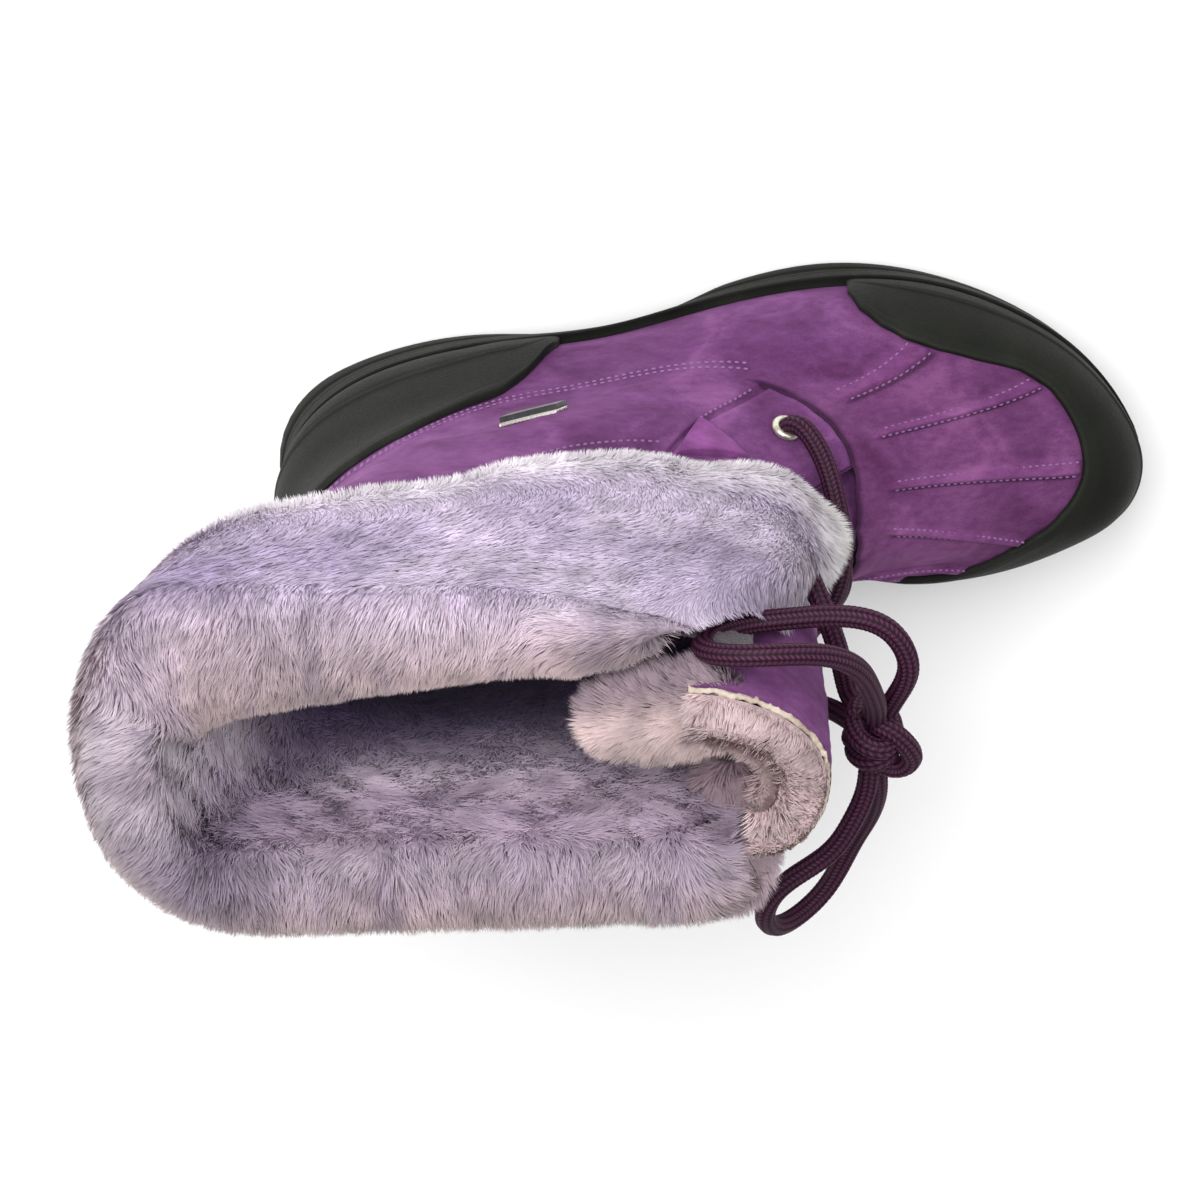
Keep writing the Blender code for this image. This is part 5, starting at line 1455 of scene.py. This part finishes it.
def cuff_angle(turn, level):
    """Angle of a column, from the inner front edge (-1) round the heel to the outer (1)."""
    return np.where(turn >= 0, turn * table(LAPEL_OUTER, level),
                    360 + turn * table(LAPEL_INNER, level))


def cuff_lift(theta):
    """Clearance of the outer leg over the upper, larger where the laces pass below."""
    return SKIN_GAP + LAPEL_LIFT * smooth((fold(theta) - 118) / 30)


even = np.linspace(-1, 1, CUFF_COLUMNS)
turn = np.sin(even * np.pi / 2) * 0.25 + even * 0.75
thin = 1 - 0.5 * smooth((np.abs(turn) - 0.86) / 0.14)
edge = cuff_angle(turn, 0.78)
# Brushed wool hangs over the hide's cut edge, lowest on the outer side.
edge = table(CUFF_EDGE, edge) - 0.012 - 0.024 * smooth((edge - 84) / 12) * (
    1 - smooth((edge - 120) / 14))
edge = edge + 0.003 * ripple(np.column_stack([turn * 180, 0 * turn, 0 * turn]), 22, 91, 2)
# The rows run from the cut edge (station 0) up the outer leg (to 1), over the roll (to 2) and
# down the inner leg (to 3) and the shaft's own lining (to 4).
skin_rows, tip_rows, station = [], [], []
for share in np.linspace(0, 1, ROWS_OUTSIDE):
    level = edge + (1 - edge) * share
    theta = cuff_angle(turn, level)
    lift = cuff_lift(theta)
    depth = (FUR * table(PILE, share) + HIDE) * thin
    skin_rows.append(upper_point(theta, level, lift))
    tip_rows.append(upper_point(theta, level, lift + depth))
    station.append(share)
theta = cuff_angle(turn, 1.0)
lift = cuff_lift(theta)
middle = (lift - WALL - SKIN_GAP) / 2
radius = (lift + WALL + SKIN_GAP) / 2
# On the outer side, towards the heel, the wool swells into the opening.
swell = BULGE * smooth((theta - 4) / 30) * (1 - smooth((theta - 38) / 70)) * (theta < 180)
for angle in np.linspace(0, 180, ROWS_OVER)[1:-1]:
    c, s = np.cos(radians(angle)), np.sin(radians(angle))
    depth = (FUR * (1 + c) / 2 + INNER_FUR * (1 - c) / 2 + HIDE) * thin
    for rows, reach in ((tip_rows, radius + depth), (skin_rows, radius)):
        rise = (RIM_HEIGHT if rows is tip_rows else 1.0) * reach * s
        rows.append(upper_point(theta, 1.0, middle + reach * c) + np.outer(rise, (0, 0, 1)))
    station.append(1 + angle / 180)
for share in np.linspace(0, 1, ROWS_INSIDE):
    level = 1 - (1 - INNER_LEG) * share + 0 * turn
    depth = (INNER_FUR + HIDE) * thin
    skin_rows.append(upper_point(theta, level, -WALL - SKIN_GAP))
    tip_rows.append(upper_point(theta, level, -WALL - SKIN_GAP - depth))
    station.append(2 + share)
# Below the cuff the shaft's own lining goes on, in shorter wool.
for share in np.linspace(0, 1, ROWS_BELOW)[1:]:
    level = INNER_LEG - (INNER_LEG - LINING_END) * share + 0 * turn
    depth = (INNER_FUR + HIDE) * thin * (1 - 0.5 * smooth(share))
    skin_rows.append(upper_point(theta, level, -WALL - SKIN_GAP + 0.4 * smooth(share / 0.2)))
    tip_rows.append(upper_point(theta, level, -WALL - SKIN_GAP - depth))
    station.append(3 + share)
skin, tips = np.stack(skin_rows), np.stack(tip_rows)
q = np.array(station)[:, None] + 0 * turn[None, :]
# The outer corner of the cuff leans in over the laces, its front edge is notched above the
# tuft, and its roll is cut back inside.
corner_end = smooth((turn[None, :] - 0.70) / 0.22)
slump = corner_end * (1 - smooth((q - 0.9) / 0.6)) * smooth(q / 0.3)
cut_back = corner_end * smooth((q - 1.1) / 0.6)
nick = smooth((turn[None, :] - 0.92) / 0.08) * smooth((q - 0.2) / 0.15) * (
    1 - smooth((q - 0.65) / 0.3))
for points in (skin, tips):
    points += nick[..., None] * np.array((-7.0, -1.0, 0))
    points += slump[..., None] * np.array((-2.5, -5.5, 0)) + cut_back[..., None] * np.array(
        (-10.0, 1.0, 0))
bulge = swell * smooth((q - 1.25) / 0.5) * (1 - smooth((q - 2) / 0.8))
tips += bulge[..., None] * np.array((0.1, -1.0, -0.15))
ends = smooth((1 - np.abs(turn)) / 0.06)[None, :] + 0 * q
foot = smooth(q / 0.16)
shape = q.shape

# Which way the wool is brushed, and its colour, on the outer side, the inner side and heel.
round_it = np.sin(np.radians(theta))[None, :] + 0 * q
near = smooth((round_it - 0.10) / 0.55)
far = smooth((-round_it - 0.05) / 0.5)
heel = 1 - near - far
# The wool parts at the neutral station: outside it it falls down the cuff, inside it into
# the opening.
neutral = 2.05 * near + 1.25 * heel + 1.03 * far
brushed = np.clip((neutral - q) * 3, -1, 1)
brushed = np.where(q < 1, brushed * (2 * smooth((q - 0.02) / 0.10) - 1), brushed)
outwards = (1 - smooth((1 - np.abs(turn)) / 0.09)) * np.sign(turn) + 0 * q
aside = (near * (0.9 * np.exp(-((q - 0.24) / 0.16)**2) - 0.25 * smooth((q - 0.5) / 0.3))
         - 0.5 * heel * (q > 0.9) + 1.6 * outwards)
tuft = np.exp(-((turn[None, :] - 0.945) / 0.035)**2 - ((q - 0.12) / 0.13)**2)
flow = (along_grid(skin, 0) * brushed[..., None] + along_grid(skin, 1) * aside[..., None]
        + (4.0 * tuft)[..., None] * np.array((1.0, 0.1, 0.2)))
standing = np.exp(-((q - neutral) / 0.3)**2)
patchy = smooth(0.42 + 0.8 * ripple(skin, 36, 93, 2))
# Where the dye took as violet, grey or pink, where the inner heel corner is darker, and where light and
# shade are painted: brown floor bounce on the far tips, the lit white fringe, blotches of shade and the
# depths of the opening.
violet = (near * np.exp(-((q - 0.85) / 0.36)**2) * np.exp(-((theta[None, :] - 42) / 22)**2)
          + 0.5 * patchy * smooth((q - 0.15) / 0.3) * (1 - smooth((q - 0.8) / 0.7)))
pink = (near * smooth((q - 0.95) / 0.8) + far * (1 - smooth((q - 1.15) / 0.6))
        + 0.7 * heel * (1 - smooth((q - 1.05) / 0.35)))
# Painted shade: the wool is painted darker deeper down inside the opening.
deep = smooth((q - 2.35) / 0.85)
grey = far * smooth((q - 0.7) / 0.4)
pale = far * smooth((q - 1.45) / 0.6)
warm = heel * smooth((q - 0.7) / 0.4)
# Painted shade, darkest of all at the bottom of the lining.
deepest_shade = smooth(q - 3)
# Painted bounce light: the far rim's tips are painted brown, for warm light reflected up from the floor.
floor_bounce_brown = far * (1 - smooth((q - 0.85) / 0.55)) * smooth(0.5 + ripple(skin, 25, 95))
# Painted light: the fringe along the cut edge and the lapel corner is painted near white, partly the
# wool's pale tips and partly the light on them.
lit_white_fringe = 1 - smooth((q - 0.05) / 0.30)
lit_white_fringe = np.clip(lit_white_fringe + 0.5 * smooth((turn - 0.88) / 0.1) * (1 - smooth((q - 0.3) / 0.4)), 0, 1)
shadowy = np.clip(0.9 * smooth(ripple(skin, 17, 94, 2) * 1.5 - 0.25), 0, 1) * (q > 1)
corner = np.exp(-((theta[None, :] - 325) / 22)**2) * smooth((q - 1.2) / 0.3)
wool_mid = wash(shape, "#c7b8ce", (violet, "#a08fb0"), (grey, "#928394"), (pale, "#c4b5c2"),
                (warm, "#baacb7"), (0.5 * patchy * (q > 1), "#a493ad"), (pink, "#b79fa7"),
                (0.55 * shadowy, "#857488"), (0.9 * corner, "#6c5e72"),
                (0.6 * floor_bounce_brown, "#a3857f"), (deep, "#514265"), (deepest_shade, "#33273f"),
                (lit_white_fringe, "#ece4ea"), (tuft, "#f4eeee"))
velvet = near * (1 - smooth((q - 0.45) / 0.3)) * (q < 1)
wool_mid *= (1 + 0.10 * near * (1 - smooth((q - 0.7) / 0.8)) * (
    1 - 1.9 * smooth((theta - 80) / 35)))[..., None]
# Painted shade: inside the inner leg the wool is painted duller and darker, its green going first.
inner_leg_shade = (far * smooth((q - 1.62) / 0.35) * (1 - 0.6 * smooth((q - 2.3) / 0.4)))[..., None]
inner_leg_shade = 1 - inner_leg_shade * np.array((0.29, 0.36, 0.28))
wool_mid *= inner_leg_shade
# Roots are darker than the middle of the locks; deep in the opening they are painted darker still, as
# shade.
wool_low = wool_mid * (0.80 + 0.16 * velvet + 0.10 * heel * (q < 1)
                       + 0.22 * smooth((q - 1.4) / 0.5) * (1 - smooth((q - 2.7) / 0.6))
                       - 0.14 * smooth((q - 2.5) / 0.7))[..., None]
wool_high = wash(shape, "#ddd0e1", (violet, "#bcaac9"), (grey, "#b3a2af"), (pale, "#ddd0da"),
                 (warm, "#d6c9d1"), (pink, "#d9c3c1"), (0.45 * shadowy, "#a292a5"),
                 (0.8 * corner, "#978a9c"), (0.7 * floor_bounce_brown, "#b9978b"), (deep, "#67587e"),
                 (deepest_shade, "#44364f"), (lit_white_fringe, "#fdfafb"), (tuft, "#fffdfa"))
wool_high *= inner_leg_shade

# Under the locks lies the pile's dense body, closed to the hide along its borders.
core_share = 0.84 * np.sqrt(np.clip(ends, 0, 1)) * (0.25 + 0.75 * foot)
core = skin + (tips - skin) * core_share[..., None]
core = core + unit(tips - skin) * (0.5 * ripple(core, 8, 92, 2) * ends * foot)[..., None]
face, hide = core[::2, ::2], skin[::2, ::2]
core_parts = [grid(face), grid(hide)] + [
    grid(np.stack([face[border], hide[border]]))
    for border in (0, -1, (slice(None), 0), (slice(None), -1))]
hide_points = sum(len(part[0]) for part in core_parts[1:])
core_colours = (wool_mid * (0.92 + 0.06 * velvet)[..., None])[::2, ::2]
core_colours = np.concatenate([core_colours.reshape(-1, 3),
                               np.tile(hue("#b9a9ad"), (hide_points, 1))])
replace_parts(make("cuff_fleece_base", core_parts, dyed_wool, core_colours), "cuff")

coat = {
    "flow": flow,
    "tilt": (TILT - 0.45 * standing - 0.45 * lit_white_fringe * (1 - tuft) - 0.75 * tuft
             - 0.10 * smooth(q - 0.5) - 0.10 * far * smooth((q - 1.5) / 0.6)
             + 0.22 * smooth((q - 2.2) / 0.5)),
    "sway": 0.13 + 0.12 * smooth(q - 0.9) + 0.15 * far * smooth((q - 1.6) / 0.5),
    "wave": 0.14 + 0.22 * smooth(q - 0.9) + 0.25 * far * smooth((q - 1.6) / 0.5),
    "length": (LOCK_LENGTH - 1.3 * velvet - 1.0 * (1 - foot) + 3.2 * tuft
               - 1.4 * smooth((q - 2.2) / 0.5)
               + 1.5 * outwards * (turn > 0) * (q > 0.3) * (q < 0.6)
               - 2.6 * corner_end * smooth((q - 0.6) / 0.15) * (1 - smooth((q - 1.3) / 0.3))),
    "core": np.clip(core_share - ROOT_DEPTH / np.linalg.norm(tips - skin, axis=-1), 0.02, 1),
    "skyward": (SKYWARD * (1 - smooth(q / 0.35))
                + SKYWARD * smooth((q - 1.4) / 0.7) * (1 - smooth((q - 2.3) / 1.0))),
    "bunch": (3.0, 2.4),
    "low": wool_low, "mid": wool_mid, "high": wool_high,
}


def region(name, density, count, seed, pull=0.45, thick=0.25):
    """The cuff's wool where density lets it grow, as one piece of this many locks."""
    picked = dict(coat, density=density.astype(float), pull=pull, thick=thick)
    pile(name, skin, tips, picked, count, seed)


outside = np.sin(np.radians(cuff_angle(turn, 1.0)))[None, :] > -0.02
region("cuff_wool_outer_side", (q < 1.0) & outside, 64000, 101, pull=0.22, thick=0.22)
region("cuff_wool_inner_side", (q < 1.0) & ~outside, 22000, 102)
region("cuff_wool_rim", (q >= 1.0) & (q < 2.3), 65000, 103)
region("cuff_wool_inside", (q >= 2.3) * (0.12 + (far + heel) * (1 - 0.6 * smooth((q - 3) / 0.4))),
       42000, 104)
